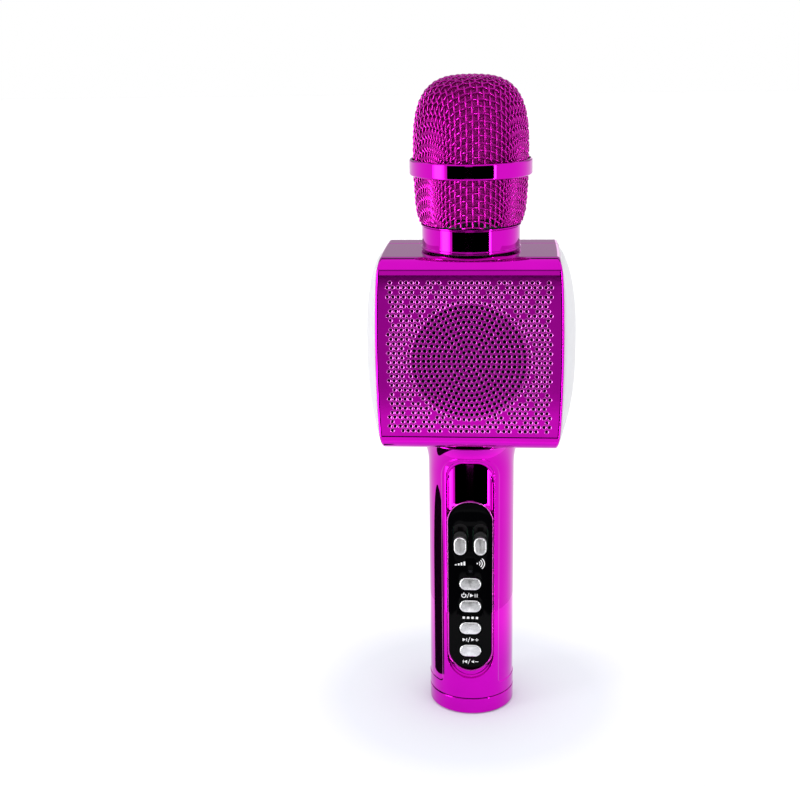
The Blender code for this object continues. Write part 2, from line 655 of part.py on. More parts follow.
def make_slider(name, side):
    """A slide control: its case behind the slot, and the knob with its stem."""
    x = side * SLOT_X
    knob_middle = KNOB_BOTTOM + KNOB_HEIGHT / 2
    knob = prism(f"{name}_knob", [stadium(x, knob_middle, KNOB_WIDTH, KNOB_HEIGHT)],
                 -PANEL_BACK - 0.2, -KNOB_FRONT, SPUN)
    join(knob, block(f"{name}_stem", (x - 0.8, PANEL_BACK - 0.5, knob_middle - 1.5),
                     (x + 0.8, -11.2, knob_middle + 1.5)))
    move_origin(knob, (x, PANEL_FRONT, knob_middle))
    low, high = SLOT_BOTTOM - 1.2, SLOT_TOP + 1.2
    case = block(f"{name}_fader", (x - 2.6, -12.4, low), (x + 2.6, BOARD_FRONT - GAP / 3, high), STEEL)
    cut(case, block(f"{name}_fader_slot", (x - 1.2, -13.5, knob_middle - 2.2),
                    (x + 1.2, -10.8, knob_middle + 2.2 + KNOB_TRAVEL)))


def make_handle_inside():
    block("control_board", (-7.0, BOARD_FRONT, 24.0), (7.0, BOARD_FRONT + BOARD_THICKNESS, 86.0), BOARD)
    cell_y = 4.2
    rod("battery_cell", 9.1, 38.0, 103.0, CELL, centre=(0, cell_y, 0), steps=INNER_STEPS)
    holder = tube("battery_holder", 10.1, 9.4, 36.5, 104.5, INNER_PLASTIC,
                  centre=(0, cell_y, 0), steps=INNER_STEPS)
    cut(holder, block("holder_mouth", (-20, -20, 30), (20, 1.0, 110)))
    block("port_board", (-8, 7.6, 16.0), (8, 9.2, 35.4), BOARD)
    charge = prism("charge_socket", [stadium(0, 22.5, 9.0, 3.3, 4)], -9.5, -16.4, STEEL)
    cut(charge, prism("charge_mouth", [stadium(0, 22.5, 8.2, 2.5, 4)], -10.5, -18))
    tube("audio_socket", 3.1, 1.8, 9.5, 16.4, INNER_PLASTIC, centre=(0, 0, 31.5),
         rotation=(-math.pi / 2, 0, 0), steps=16)


# ---------------------------------------------------------------- build

def shade(item):
    item.data.shade_smooth()
    item.data.set_sharp_from_angle(angle=math.radians(35))


make_head()
make_neck()
make_shells()
make_lights()
make_speaker()
make_radiator()
make_box_inside()
make_handle()
make_base()
make_panel()
for button_name, button_z in BUTTONS:
    make_button(button_name, button_z)
make_slider("volume", -1)
make_slider("echo", 1)
make_handle_inside()
for part in PARTS.objects:
    if part.data.polygons:
        shade(part)
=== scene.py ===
"""How the karaoke microphone looks: detailed pieces, materials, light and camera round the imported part.

Sizes are in millimetres and become metres where a mesh is made. Z is up and the microphone faces -Y.
"""

import json
import math

import bmesh
import bpy
import numpy as np
from mathutils import Matrix, Vector
from mathutils.geometry import delaunay_2d_cdt

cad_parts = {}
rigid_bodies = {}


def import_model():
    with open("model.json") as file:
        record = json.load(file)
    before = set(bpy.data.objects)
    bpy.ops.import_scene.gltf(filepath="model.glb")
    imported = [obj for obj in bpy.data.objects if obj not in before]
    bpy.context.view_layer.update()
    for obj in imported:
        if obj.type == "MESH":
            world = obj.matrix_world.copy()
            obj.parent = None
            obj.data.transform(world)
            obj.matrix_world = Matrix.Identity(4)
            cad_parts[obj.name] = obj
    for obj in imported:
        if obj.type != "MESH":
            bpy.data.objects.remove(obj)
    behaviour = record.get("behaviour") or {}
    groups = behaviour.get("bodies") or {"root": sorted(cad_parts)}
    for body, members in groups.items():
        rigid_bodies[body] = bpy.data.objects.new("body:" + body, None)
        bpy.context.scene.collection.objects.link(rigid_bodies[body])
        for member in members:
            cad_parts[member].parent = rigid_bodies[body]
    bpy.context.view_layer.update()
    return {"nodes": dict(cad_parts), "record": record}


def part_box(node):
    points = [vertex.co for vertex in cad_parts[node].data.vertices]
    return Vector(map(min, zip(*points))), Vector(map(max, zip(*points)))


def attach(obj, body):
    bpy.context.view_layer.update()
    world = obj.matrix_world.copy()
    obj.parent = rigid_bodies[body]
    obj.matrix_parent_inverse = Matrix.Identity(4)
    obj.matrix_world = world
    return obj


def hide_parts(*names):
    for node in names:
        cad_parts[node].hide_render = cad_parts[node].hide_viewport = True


for item in list(bpy.data.objects):
    bpy.data.objects.remove(item, do_unlink=True)
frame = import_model()

MM = 0.001


def node_box(node):
    """A CAD node's lowest and highest corners in millimetres."""
    low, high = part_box(node)
    return np.array(low) / MM, np.array(high) / MM


BASE_HIGH = node_box("base_cap")[1]
HANDLE_LOW, HANDLE_HIGH = node_box("handle_shell")
FRONT_LOW, FRONT_HIGH = node_box("front_shell")
REAR_LOW = node_box("rear_shell")[0]
PANEL_LOW, PANEL_HIGH = node_box("control_panel")
COLLAR_LOW, COLLAR_HIGH = node_box("neck_collar")
BAND_LOW, BAND_HIGH = node_box("band_ring")
DOME_LOW, DOME_HIGH = node_box("mesh_dome")
BASKET_LOW, BASKET_HIGH = node_box("mesh_basket")

# Mesh head.
HEAD_WIDEST_AT = 226.0
HEAD_RADIUS = 22.05
FOOT_RADIUS = 20.6
CROWN_POWER = 3.1            # how square the crown is; 2 would be an ellipse

# Box.
BOX_BOTTOM, BOX_TOP = FRONT_LOW[2], FRONT_HIGH[2]
BOX_HALF_DEPTH = -FRONT_LOW[1]
PARTING_Y = FRONT_HIGH[1]
BOX_MIDDLE = (BOX_BOTTOM + BOX_TOP) / 2
BOX_HALF_HEIGHT = (BOX_TOP - BOX_BOTTOM) / 2
BOX_HALF_WIDTH = 34.5
END_BOW_DEPTH = 0.4
END_BOW_HEIGHT = 1.1
END_EASING = 1.0
LIGHT_BULGE = 4.65
FRONT_CORNER = 6.0
REAR_CORNER = 2.5
END_ROUNDING = 1.15
WALL = 2.0
GAP = 0.3
WINDOW_X = 31.5              # half-width of the perforated field's plate
SPEAKER_Z = 151.5
FRONT_WINDOW = (121.85, 184.3)
REAR_WINDOW = (119.5, 186.7)
SCREW_X = 27.2
SCREW_Z = (123.6, 182.6)

# Handle.
HANDLE_TOP = HANDLE_HIGH[2]
HANDLE_BOTTOM = HANDLE_LOW[2]
SPINE_RADIUS = 17.32
STEP = 0.22                  # how far the flutes lie behind the spine
SPINE_HALF = 11.4
SPINE_TOP = 111.0
SPINE_CORNER = 8.6
FLUTE_BOTTOM = 12.5
FLUTE_CORNER = 1.5
FLARE_START = 103.0
FLARE_RADIUS = 20.2
RECESS_HALF = 9.5
RECESS_BOTTOM = 16.3
RECESS_TOP = 110.0
RECESS_CORNER = 7.2
RECESS = (RECESS_HALF, RECESS_BOTTOM, RECESS_TOP, RECESS_CORNER, RECESS_HALF - 0.01)
RECESS_DEPTH = 1.7
FLOOR_RADIUS = 17.6
PATCH_HALF = 13.2            # half-width of the handle's front and rear patches
BASE_TOP = 6.9

# Control panel.
SLIDER_X = 4.03
SLIDER_Z = 75.95
SLIDER_SLOT = (6.15, 13.7)
KEY_OPENING = (9.4, 5.9)
KEY_SIZE = (8.8, 5.3)


# ---------------------------------------------------------------- materials

def surface(name, color, roughness, metallic=0.0, **inputs):
    """A Principled material; returns it with its node tree and shader."""
    made = bpy.data.materials.new(name)
    made.use_nodes = True
    shader = made.node_tree.nodes["Principled BSDF"]
    shader.inputs["Base Color"].default_value = (*color, 1.0)
    shader.inputs["Roughness"].default_value = roughness
    shader.inputs["Metallic"].default_value = metallic
    for key, value in inputs.items():
        shader.inputs[key.replace("_", " ")].default_value = value
    return made, made.node_tree, shader


def coordinates(tree):
    return tree.nodes.new("ShaderNodeTexCoord").outputs["Object"]


def noise(tree, scale, detail=3.0):
    """Noise over the object's own coordinates; scale is in features a metre."""
    node = tree.nodes.new("ShaderNodeTexNoise")
    node.inputs["Scale"].default_value = scale
    node.inputs["Detail"].default_value = detail
    tree.links.new(coordinates(tree), node.inputs["Vector"])
    return node.outputs["Fac"]


def cells(tree, scale, feature="F1"):
    node = tree.nodes.new("ShaderNodeTexVoronoi")
    node.feature = feature
    node.inputs["Scale"].default_value = scale
    tree.links.new(coordinates(tree), node.inputs["Vector"])
    return node.outputs["Distance"]


def remap(tree, value, low, high, to_low, to_high):
    node = tree.nodes.new("ShaderNodeMapRange")
    node.inputs["From Min"].default_value = low
    node.inputs["From Max"].default_value = high
    node.inputs["To Min"].default_value = to_low
    node.inputs["To Max"].default_value = to_high
    tree.links.new(value, node.inputs["Value"])
    return node.outputs["Result"]


def vary_roughness(tree, shader, value, low, high):
    tree.links.new(remap(tree, value, 0.3, 0.7, low, high), shader.inputs["Roughness"])


def vary_color(tree, shader, value, first, second):
    mix = tree.nodes.new("ShaderNodeMix")
    mix.data_type = "RGBA"
    mix.inputs[6].default_value = (*first, 1.0)
    mix.inputs[7].default_value = (*second, 1.0)
    tree.links.new(remap(tree, value, 0.3, 0.7, 0.0, 1.0), mix.inputs[0])
    tree.links.new(mix.outputs[2], shader.inputs["Base Color"])
    return mix.outputs[2]


def bump(tree, shader, value, distance, strength=1.0):
    node = tree.nodes.new("ShaderNodeBump")
    node.inputs["Strength"].default_value = strength
    node.inputs["Distance"].default_value = distance
    tree.links.new(value, node.inputs["Height"])
    tree.links.new(node.outputs["Normal"], shader.inputs["Normal"])


def plated(name, color, roughness, peel=0.0000015):
    """Tinted mirror plating over moulded plastic, paler at a glance, with a trace of orange peel."""
    made, tree, shader = surface(name, color, roughness, 1.0, Coat_Weight=0.04, Coat_Roughness=0.03)
    shade = tuple(channel * 0.94 for channel in color)
    tint = vary_color(tree, shader, noise(tree, 60), shade, color)
    facing = tree.nodes.new("ShaderNodeLayerWeight")
    facing.inputs["Blend"].default_value = 0.5
    pale = tree.nodes.new("ShaderNodeMix")
    pale.data_type = "RGBA"
    pale.inputs[7].default_value = (0.54, 0.09, 0.50, 1.0)
    tree.links.new(remap(tree, facing.outputs["Facing"], 0.55, 1.0, 0.0, 0.85), pale.inputs[0])
    tree.links.new(tint, pale.inputs[6])
    tree.links.new(pale.outputs[2], shader.inputs["Base Color"])
    vary_roughness(tree, shader, noise(tree, 220), roughness * 0.7, roughness * 1.3)
    bump(tree, shader, noise(tree, 700, 1.0), peel)
    return made


def moulded(name, color, roughness, grain=900.0, depth=0.00002, metallic=0.0, shade=0.85, **inputs):
    """Moulded plastic, rubber or board: fine grain, with colour and gloss that vary a little."""
    made, tree, shader = surface(name, color, roughness, metallic, **inputs)
    vary_color(tree, shader, noise(tree, 120), tuple(channel * shade for channel in color), color)
    vary_roughness(tree, shader, noise(tree, 300), roughness * 0.85, min(1.0, roughness * 1.15))
    bump(tree, shader, noise(tree, grain), depth)
    return made


def spun(name):
    """Aluminium turned on a lathe: the highlight fans out from the middle."""
    made, tree, shader = surface(name, (0.80, 0.80, 0.82), 0.26, 1.0, Anisotropic=0.9)
    tangent = tree.nodes.new("ShaderNodeTangent")
    tangent.direction_type = "RADIAL"
    tangent.axis = "Y"
    tree.links.new(tangent.outputs["Tangent"], shader.inputs["Tangent"])
    vary_color(tree, shader, noise(tree, 900), (0.84, 0.84, 0.86), (0.97, 0.97, 0.98))
    vary_roughness(tree, shader, noise(tree, 2500), 0.26, 0.36)
    return made


def foam(name):
    made, tree, shader = surface(name, (0.42, 0.01, 0.26), 0.95, Specular_IOR_Level=0.05)
    vary_color(tree, shader, cells(tree, 2200), (0.10, 0.001, 0.055), (0.42, 0.012, 0.26))
    bump(tree, shader, cells(tree, 2200), 0.0003)
    return made


MAGENTA = (0.68, 0.003, 0.57)
PLATED = plated("plated_magenta", MAGENTA, 0.035)
PLATED_FACE = plated("plated_face", MAGENTA, 0.055)
# Paler, rougher plating for the holes' sloping rims and the panel's bezel: a painted highlight.
PAINTED_HIGHLIGHT_RIM = plated("plated_rim_painted_highlight", (0.72, 0.12, 0.62), 0.3)
# Dark plating for the faces deep in the dimples and holes: painted shade.
SHADED = plated("plated_hollow_painted_shade", (0.10, 0.001, 0.08), 0.3)
WIRE = plated("plated_wire", (0.54, 0.008, 0.38), 0.2)
MILKY = moulded("milky_cover", (0.62, 0.62, 0.65), 0.35, 600, 0.0000005, shade=0.97,
                Subsurface_Weight=0.1)
MILKY.node_tree.nodes["Principled BSDF"].inputs["Subsurface Radius"].default_value = (0.004, 0.004, 0.004)
PANEL = moulded("panel_black", (0.0008, 0.0008, 0.0011), 0.05, 400, 0.0000004, Specular_IOR_Level=0.05)
SPUN = spun("spun_aluminium")
PRINT = moulded("white_print", (0.80, 0.80, 0.82), 0.5, 3000, 0.000002)
CARRIER = moulded("black_carrier", (0.012, 0.012, 0.013), 0.3, 1200, 0.000004)
# Near-black steel for the parts deep inside the head and the box: painted shade.
STEEL_PAINTED_SHADE = moulded("steel_painted_shade", (0.012, 0.011, 0.013), 0.45, 1500, 0.000004, metallic=0.5)
PAINTED_SHADE_NODES = ("grille_ring", "volume_fader", "echo_fader", "speaker_basket")
SLOT_LOOKS = {
    "plated_magenta": PLATED,
    "mesh_metal": WIRE,
    "milky_cover": MILKY,
    "panel_black": PANEL,
    "spun_aluminium": SPUN,
    "inner_plastic": moulded("inner_plastic", (0.03, 0.03, 0.032), 0.5),
    "rubber": moulded("rubber", (0.02, 0.02, 0.02), 0.75, 600, 0.00005),
    "foam": foam("foam"),
    "steel": moulded("steel", (0.60, 0.61, 0.63), 0.3, 1500, 0.000004, metallic=1.0),
    "ferrite": moulded("ferrite", (0.07, 0.07, 0.075), 0.55, 700, 0.00003, metallic=0.3),
    "cone_paper": moulded("cone_paper", (0.012, 0.012, 0.012), 0.9, 500, 0.00008),
    "circuit_board": moulded("circuit_board", (0.02, 0.16, 0.08), 0.45, 800, 0.00002),
    "cell_wrap": moulded("cell_wrap", (0.05, 0.20, 0.45), 0.35, 400, 0.00001),
    "indicator_lens": moulded("indicator_lens", (0.012, 0.012, 0.015), 0.12, 900, 0.000002),
}


# ---------------------------------------------------------------- meshes

def finish_rims(mesh, rim):
    """Keep a pierced plate flat up to its holes, give their sloping rims a paler plating, a painted
    highlight, and the faces deeper in the hollows a dark plating, a painted shade.
    """
    mesh.materials.append(rim)
    mesh.materials.append(SHADED)
    skin = max(abs(vertex.co.y) for vertex in mesh.vertices) - 0.08 * MM
    flat = {}
    for face in mesh.polygons:
        flat[face.index] = abs(face.normal.y) > 0.9999
        spot = face.center
        in_field = abs(spot.x) < WINDOW_X * MM and REAR_WINDOW[0] * MM < spot.z < REAR_WINDOW[1] * MM
        # Rims get the paler plating, a painted highlight; faces deeper in the hollows get the dark plating, a
        # painted shade.
        if in_field and 0.75 < abs(face.normal.y) < 0.95 and face.area < 0.3 * MM * MM:
            face.material_index = 1
        elif in_field and abs(spot.y) < skin and face.area < 2.0 * MM * MM:
            face.material_index = 2
    beside = {}
    for face in mesh.polygons:
        for key in face.edge_keys:
            beside.setdefault(key, []).append(face.index)
    for edge in mesh.edges:
        sides = {flat[index] for index in beside.get(edge.key, ())}
        if len(sides) == 2:
            edge.use_edge_sharp = True


def facing_out(points, face, normals):
    """The face, turned to agree with its points' normals."""
    across = np.cross(points[face[1]] - points[face[0]], points[face[2]] - points[face[0]])
    wanted = sum(np.asarray(normals[i], float) for i in face)
    return face[::-1] if across @ wanted < 0 else face


def make_piece(name, points, faces, look, body, replaced=(), origin=(0, 0, 0), sharp=35.0,
               normals=None, rim=None):
    """A mesh from points in millimetres, riding on a CAD body."""
    mesh = bpy.data.meshes.new(name)
    points = np.asarray(points, float) - np.asarray(origin, float)
    faces = [tuple(int(i) for i in face) for face in faces]
    if normals is not None:
        faces = [facing_out(points, face, normals) for face in faces]
    mesh.from_pydata((points * MM).tolist(), [], faces)
    mesh.update()
    mesh.materials.append(look)
    mesh.shade_smooth()
    if normals is None:
        solid = bmesh.new()
        solid.from_mesh(mesh)
        bmesh.ops.remove_doubles(solid, verts=solid.verts, dist=0.0000005)
        bmesh.ops.recalc_face_normals(solid, faces=solid.faces)
        solid.to_mesh(mesh)
        solid.free()
        mesh.set_sharp_from_angle(angle=math.radians(sharp))
        if rim is not None:
            finish_rims(mesh, rim)
    else:
        mesh.normals_split_custom_set_from_vertices(np.asarray(normals, float).tolist())
    piece = bpy.data.objects.new(name, mesh)
    bpy.context.scene.collection.objects.link(piece)
    piece.location = Vector(origin) * MM
    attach(piece, body)
    if replaced:
        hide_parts(*replaced)
    return piece


def strip_faces(rings, count, closed, base=0):
    """Quads between consecutive rings that have count points each."""
    faces = []
    last = count if closed else count - 1
    for ring in range(rings - 1):
        for i in range(last):
            j = (i + 1) % count
            a = base + ring * count
            faces.append((a + i, a + j, a + count + j, a + count + i))
    return faces


def fillet(points, radii, steps=6, support=0.12):
    """Round the corners of a closed outline, one radius a corner, with support points beside each arc."""
    result = []
    for i, (corner, radius) in enumerate(zip(points, radii)):
        here = np.array(corner, float)
        if radius <= 0:
            result.append(here)
            continue
        before = np.array(points[i - 1], float) - here
        after = np.array(points[(i + 1) % len(points)], float) - here
        room = (np.linalg.norm(before), np.linalg.norm(after))
        before, after = before / room[0], after / room[1]
        angle = math.acos(float(np.clip(before @ after, -1, 1)))
        reach = radius / math.tan(angle / 2)
        centre = here + (before + after) / np.linalg.norm(before + after) * radius / math.sin(angle / 2)
        start, end = here + before * reach, here + after * reach
        turn = math.pi - angle
        if reach + support < room[0] * 0.9:
            result.append(here + before * (reach + support))
        for k in range(steps + 1):
            share = k / steps
            arm = (math.sin((1 - share) * turn) * (start - centre)
                   + math.sin(share * turn) * (end - centre)) / math.sin(turn)
            result.append(centre + arm)
        if reach + support < room[1] * 0.9:
            result.append(here + after * (reach + support))
    return result


def divided(outline, longest, closed=True):
    """Add points on long stretches."""
    ends = outline[1:] + outline[:1] if closed else outline[1:]
    points = []
    for start, end in zip(outline, ends):
        parts = max(1, math.ceil(math.dist(start, end) / longest - 1e-6))
        for i in range(parts):
            share = i / parts
            points.append(np.array(start) * (1 - share) + np.array(end) * share)
    if not closed:
        points.append(np.array(outline[-1]))
    return points


def lathe(name, profile, look, body, replaced=(), steps=160):
    """Turn a closed (radius, height) profile about the Z axis."""
    angles = np.arange(steps) * 2 * math.pi / steps
    points = np.array([[(r * math.sin(a), -r * math.cos(a), z) for r, z in profile] for a in angles])
    count = len(profile)
    faces = []
    for ring in range(steps):
        after = (ring + 1) % steps
        for i in range(count):
            j = (i + 1) % count
            faces.append((ring * count + i, ring * count + j, after * count + j, after * count + i))
    return make_piece(name, points.reshape(-1, 3), faces, look, body, replaced)


def rounded(left, right, bottom, top, radii, steps=8):
    """A rectangle's outline with corner radii that run anticlockwise from the top right."""
    points = []
    corners = ((right, top, -1, -1, 0), (left, top, 1, -1, 90),
               (left, bottom, 1, 1, 180), (right, bottom, -1, 1, 270))
    for (x, z, dx, dz, start), radius in zip(corners, radii):
        for k in range(steps + 1):
            angle = math.radians(start + 90 * k / steps)
            points.append((x + dx * radius + radius * math.cos(angle),
                           z + dz * radius + radius * math.sin(angle)))
    return points


def slot_outline(x, z, width, height, steps=10):
    """Returns a function giving a round-ended slot's outline, grown by an offset."""
    def outline(offset=0.0):
        w, h = width / 2 + offset, height / 2 + offset
        radius = min(w, h) - 0.0005
        return rounded(x - w, x + w, z - h, z + h, [radius] * 4, steps)
    return outline


def circle_outline(x, z, radius, steps=20):
    def outline(offset=0.0):
        angles = [2 * math.pi * k / steps for k in range(steps)]
        return [(x + (radius + offset) * math.cos(a), z + (radius + offset) * math.sin(a)) for a in angles]
    return outline


def inside(points, outline):
    """Which of the points lie inside an outline."""
    x, z = points[:, 0], points[:, 1]
    ring = np.array(outline)
    found = np.zeros(len(points), bool)
    for (x0, z0), (x1, z1) in zip(ring, np.roll(ring, -1, axis=0)):
        crosses = (z0 > z) != (z1 > z)
        with np.errstate(divide="ignore", invalid="ignore"):
            found ^= crosses & (x < (x1 - x0) * (z - z0) / (z1 - z0) + x0)
    return found


def triangulated(outer, holes=(), curves=(), extra=()):
    """Triangles that fill an outline, leave its holes open and follow the given curves."""
    points, edges = [], []

    def add(line, closed):
        base = len(points)
        points.extend((float(p[0]), float(p[1])) for p in line)
        count = len(line)
        edges.extend((base + i, base + (i + 1) % count) for i in range(count if closed else count - 1))

    add(outer, True)
    for line in holes:
        add(line, True)
    for line, closed in curves:
        add(line, closed)
    points.extend((float(x), float(z)) for x, z in extra)
    found = delaunay_2d_cdt([Vector(p) for p in points], edges, [], 0, 1e-6, False)
    flat = np.array([tuple(v) for v in found[0]])
    triangles = np.array(found[2])
    centres = flat[triangles].mean(axis=1)
    keep = inside(centres, outer)
    for line in holes:
        ring = np.array(line)
        low, high = ring.min(axis=0), ring.max(axis=0)
        near = ((centres >= low) & (centres <= high)).all(axis=1) & keep
        near_at = np.nonzero(near)[0]
        keep[near_at[inside(centres[near_at], line)]] = False
    return flat, triangles[keep]


def plate(name, outer, holes, front, back, bevel, look, body, replaced=(), origin=(0, 0, 0), steps=4):
    """A flat piece facing -Y with rounded front edges, cut through by holes."""
    rings = [(outer, -1)] + [(hole, 1) for hole in holes]
    flat, triangles = triangulated(outer(-bevel), [hole(bevel) for hole in holes])
    points = [(x, front, z) for x, z in flat]
    faces = [tuple(t) for t in triangles]
    for outline, side in rings:
        base = len(points)
        levels = [(side * bevel * (1 - math.sin(math.pi / 2 * k / steps)),
                   front + bevel * (1 - math.cos(math.pi / 2 * k / steps))) for k in range(steps + 1)]
        levels.append((0.0, back))
        for offset, y in levels:
            ring = outline(offset)
            points.extend((x, y, z) for x, z in ring)
        faces += strip_faces(len(levels), len(ring), True, base)
    return make_piece(name, points, faces, look, body, replaced, origin)


# ---------------------------------------------------------------- mesh head

def head_radius(height):
    """The mesh head's outer radius: a slightly swelling basket under a squarish crown."""
    if height < HEAD_WIDEST_AT:
        share = (HEAD_WIDEST_AT - height) / (HEAD_WIDEST_AT - BASKET_LOW[2])
        return HEAD_RADIUS - (HEAD_RADIUS - FOOT_RADIUS) * share ** 2
    share = min(1.0, (height - HEAD_WIDEST_AT) / (DOME_HIGH[2] - HEAD_WIDEST_AT))
    return HEAD_RADIUS * max(0.0, 1 - share ** CROWN_POWER) ** (1 / CROWN_POWER)


def head_profile(inset):
    """(arc length, radius, height) along the head from its pole, moved inwards by an inset."""
    widest, power = HEAD_WIDEST_AT, CROWN_POWER
    line = []
    for angle in np.linspace(0, math.pi / 2, 160):
        up, out = math.cos(angle) ** (2 / power), math.sin(angle) ** (2 / power)
        line.append(((HEAD_RADIUS - inset) * out, widest + (DOME_HIGH[2] - widest - inset) * up))
    for height in np.linspace(widest, BASKET_LOW[2] - 4, 60)[1:]:
        taper = 0.9 * max(0.0, (BASKET_LOW[2] + 6 - height) / 6) ** 1.5
        line.append((head_radius(max(height, BASKET_LOW[2])) - inset - taper, height))
    line = np.array(line)
    arc = np.concatenate([[0], np.cumsum(np.hypot(*np.diff(line, axis=0).T))])
    return arc, line[:, 0], line[:, 1]


def draped_net(inset, across, down, turn):
    """Crossing points of a wire net pressed over the head, indexed from its pole in both directions.

    Each point lies one wire spacing from its two inner neighbours, as in cloth draped over a form.
    """
    arc, radii, heights = head_profile(inset)

    def place(s, angle):
        r = np.interp(s, arc, radii)
        return np.array([r * math.cos(angle), r * math.sin(angle), np.interp(s, arc, heights)])

    reach = arc[-1]
    spots = {}
    along = {}
    for i in range(int(reach / down) + 1):
        along[i, 0] = (i * down, 0.0)
    for j in range(int(reach / across) + 1):
        along[0, j] = (j * across, math.pi / 2)
    for (i, j), (s, angle) in along.items():
        spots[i, j] = place(s, angle)
    for total in range(2, 90):
        for i in range(1, total):
            j = total - i
            if (i - 1, j) not in spots or (i, j - 1) not in spots:
                continue
            first, second = spots[i - 1, j], spots[i, j - 1]
            s1, a1 = along[i - 1, j]
            s2, a2 = along[i, j - 1]
            s0, a0 = along.get((i - 1, j - 1), (min(s1, s2), (a1 + a2) / 2))
            guess = np.array([s1 + s2 - s0, (a1 + a2) / 2])
            for _ in range(12):
                here = place(*guess)
                miss = np.array([np.linalg.norm(here - first) - down, np.linalg.norm(here - second) - across])
                ds = (place(guess[0] + 0.01, guess[1]) - here) / 0.01
                da = (place(guess[0], guess[1] + 0.001) - here) / 0.001
                u, v = (here - first) / down, (here - second) / across
                slope = np.array([[u @ ds, u @ da], [v @ ds, v @ da]])
                if abs(np.linalg.det(slope)) < 1e-6:
                    break
                guess = guess - np.clip(np.linalg.solve(slope, miss), -1.5, 1.5)
            if guess[0] > reach or np.abs(miss).max() > 0.25:
                continue
            along[i, j] = tuple(guess)
            spots[i, j] = place(*guess)
    net = {}
    for (i, j), spot in spots.items():
        for si, sj in {(1, 1), (1, -1), (-1, 1), (-1, -1)}:
            x, y, z = spot
            x, y = x * si, y * sj
            net[i * si, j * sj] = np.array([y, -x, z])
    rotation = np.array(Matrix.Rotation(math.radians(turn), 3, "Z"))
    return {key: rotation @ spot for key, spot in net.items()}


def surface_normal(spot):
    """Outward direction of the head's surface, roughly."""
    r = math.hypot(spot[0], spot[1])
    z = spot[2]
    if r < 0.01:
        return np.array([0.0, 0.0, 1.0])
    widest, power = HEAD_WIDEST_AT, CROWN_POWER
    if z <= widest:
        up = -0.03
        out = 1.0
    else:
        out = (r / HEAD_RADIUS) ** (power - 1) / HEAD_RADIUS
        up = ((z - widest) / (DOME_HIGH[2] - widest)) ** (power - 1) / (DOME_HIGH[2] - widest)
    normal = np.array([spot[0] / r * out, spot[1] / r * out, up])
    return normal / np.linalg.norm(normal)


def wire_mesh(name, net, low, high, wire, weave, replaced, sides=7, between=4):
    """Woven wires through a net's crossing points, kept between two heights."""
    points, faces = [], []
    for direction in (0, 1):
        lines = {}
        for key in net:
            lines.setdefault(key[1 - direction], []).append(key)
        for fixed, keys in lines.items():
            keys.sort(key=lambda k: k[direction])
            run = []
            for key in keys:
                if run and key[direction] != run[-1][direction] + 1:
                    add_wire(points, faces, net, run, low, high, wire, weave, direction, sides, between)
                    run = []
                run.append(key)
            add_wire(points, faces, net, run, low, high, wire, weave, direction, sides, between)
    return make_piece(name, points, faces, WIRE, "grille_head", replaced, sharp=80)


def add_wire(points, faces, net, run, low, high, wire, weave, direction, sides, between):
    if len(run) < 2:
        return
    knots, normals = [], []
    for key in run:
        normal = surface_normal(net[key])
        over = weave if (key[0] + key[1]) % 2 == direction else -weave
        knots.append(net[key] + normal * over)
        normals.append(normal)
    knots, normals = np.array(knots), np.array(normals)
    path, up = [], []
    for i in range(len(knots) - 1):
        for k in range(between):
            t = k / between
            before, after = knots[max(i - 1, 0)], knots[min(i + 2, len(knots) - 1)]
            a, b = knots[i], knots[i + 1]
            spot = 0.5 * ((2 * a) + (b - before) * t + (2 * before - 5 * a + 4 * b - after) * t * t
                          + (3 * a - before - 3 * b + after) * t ** 3)
            path.append(spot)
            up.append(normals[i] * (1 - t) + normals[i + 1] * t)
    path.append(knots[-1])
    up.append(normals[-1])
    path, up = np.array(path), np.array(up)
    keep = (path[:, 2] >= low) & (path[:, 2] <= high)
    starts = [i for i in range(len(path)) if keep[i] and (i == 0 or not keep[i - 1])]
    for start in starts:
        end = start
        while end + 1 < len(path) and keep[end + 1]:
            end += 1
        if end - start >= 2:
            add_tube(points, faces, path[start:end + 1], up[start:end + 1], wire, sides)


def add_tube(points, faces, path, up, radius, sides):
    base = len(points)
    tangents = np.gradient(path, axis=0)
    tangents /= np.linalg.norm(tangents, axis=1)[:, None]
    side = np.cross(tangents, up)
    side /= np.linalg.norm(side, axis=1)[:, None]
    top = np.cross(side, tangents)
    angles = 2 * math.pi * np.arange(sides) / sides
    rings = (path[:, None, :] + radius * (np.cos(angles)[None, :, None] * side[:, None, :]
                                          + np.sin(angles)[None, :, None] * top[:, None, :]))
    points.extend(rings.reshape(-1, 3).tolist())
    faces.extend(strip_faces(len(path), sides, True, base))
    faces.append(tuple(base + k for k in range(sides)))
    faces.append(tuple(base + (len(path) - 1) * sides + k for k in range(sides)))


def make_head():
    """The woven wires, the band round the head and the collar under it."""
    wire, weave = 0.39, 0.31
    inset = 0.70
    dome = draped_net(inset, 2.25, 2.6, 10.0)
    basket = draped_net(inset, 2.25, 2.6, 4.0)
    wire_mesh("mesh_dome_wires", dome, DOME_LOW[2], DOME_HIGH[2], wire, weave, ["mesh_dome"])
    wire_mesh("mesh_basket_wires", basket, BASKET_LOW[2] + 0.2, BASKET_HIGH[2], wire, weave, ["mesh_basket"])
    bore, rim = 22.3, BAND_HIGH[0]
    low, high = BAND_LOW[2], BAND_HIGH[2]
    profile = fillet([(bore, high), (bore, low), (rim, low), (rim, high)], [0.2, 0.2, 0.75, 0.75])
    lathe("head_band", profile, PLATED, "grille_head", ["band_ring"])
    low, high, widest = COLLAR_LOW[2], COLLAR_HIGH[2], COLLAR_HIGH[0]
    wall = widest - 0.45
    profile = fillet([(16.0, high), (16.0, low), (widest - 0.1, low), (widest - 0.1, low + 0.9),
                      (wall, low + 1.1), (wall, high - 0.8), (widest, high - 0.4), (widest, high)],
                     [0.2, 0.2, 0.4, 0.3, 0.2, 0.1, 0.1, 0.15])
    lathe("neck_ring", profile, PLATED, "grille_head", ["neck_collar"])


# ---------------------------------------------------------------- box

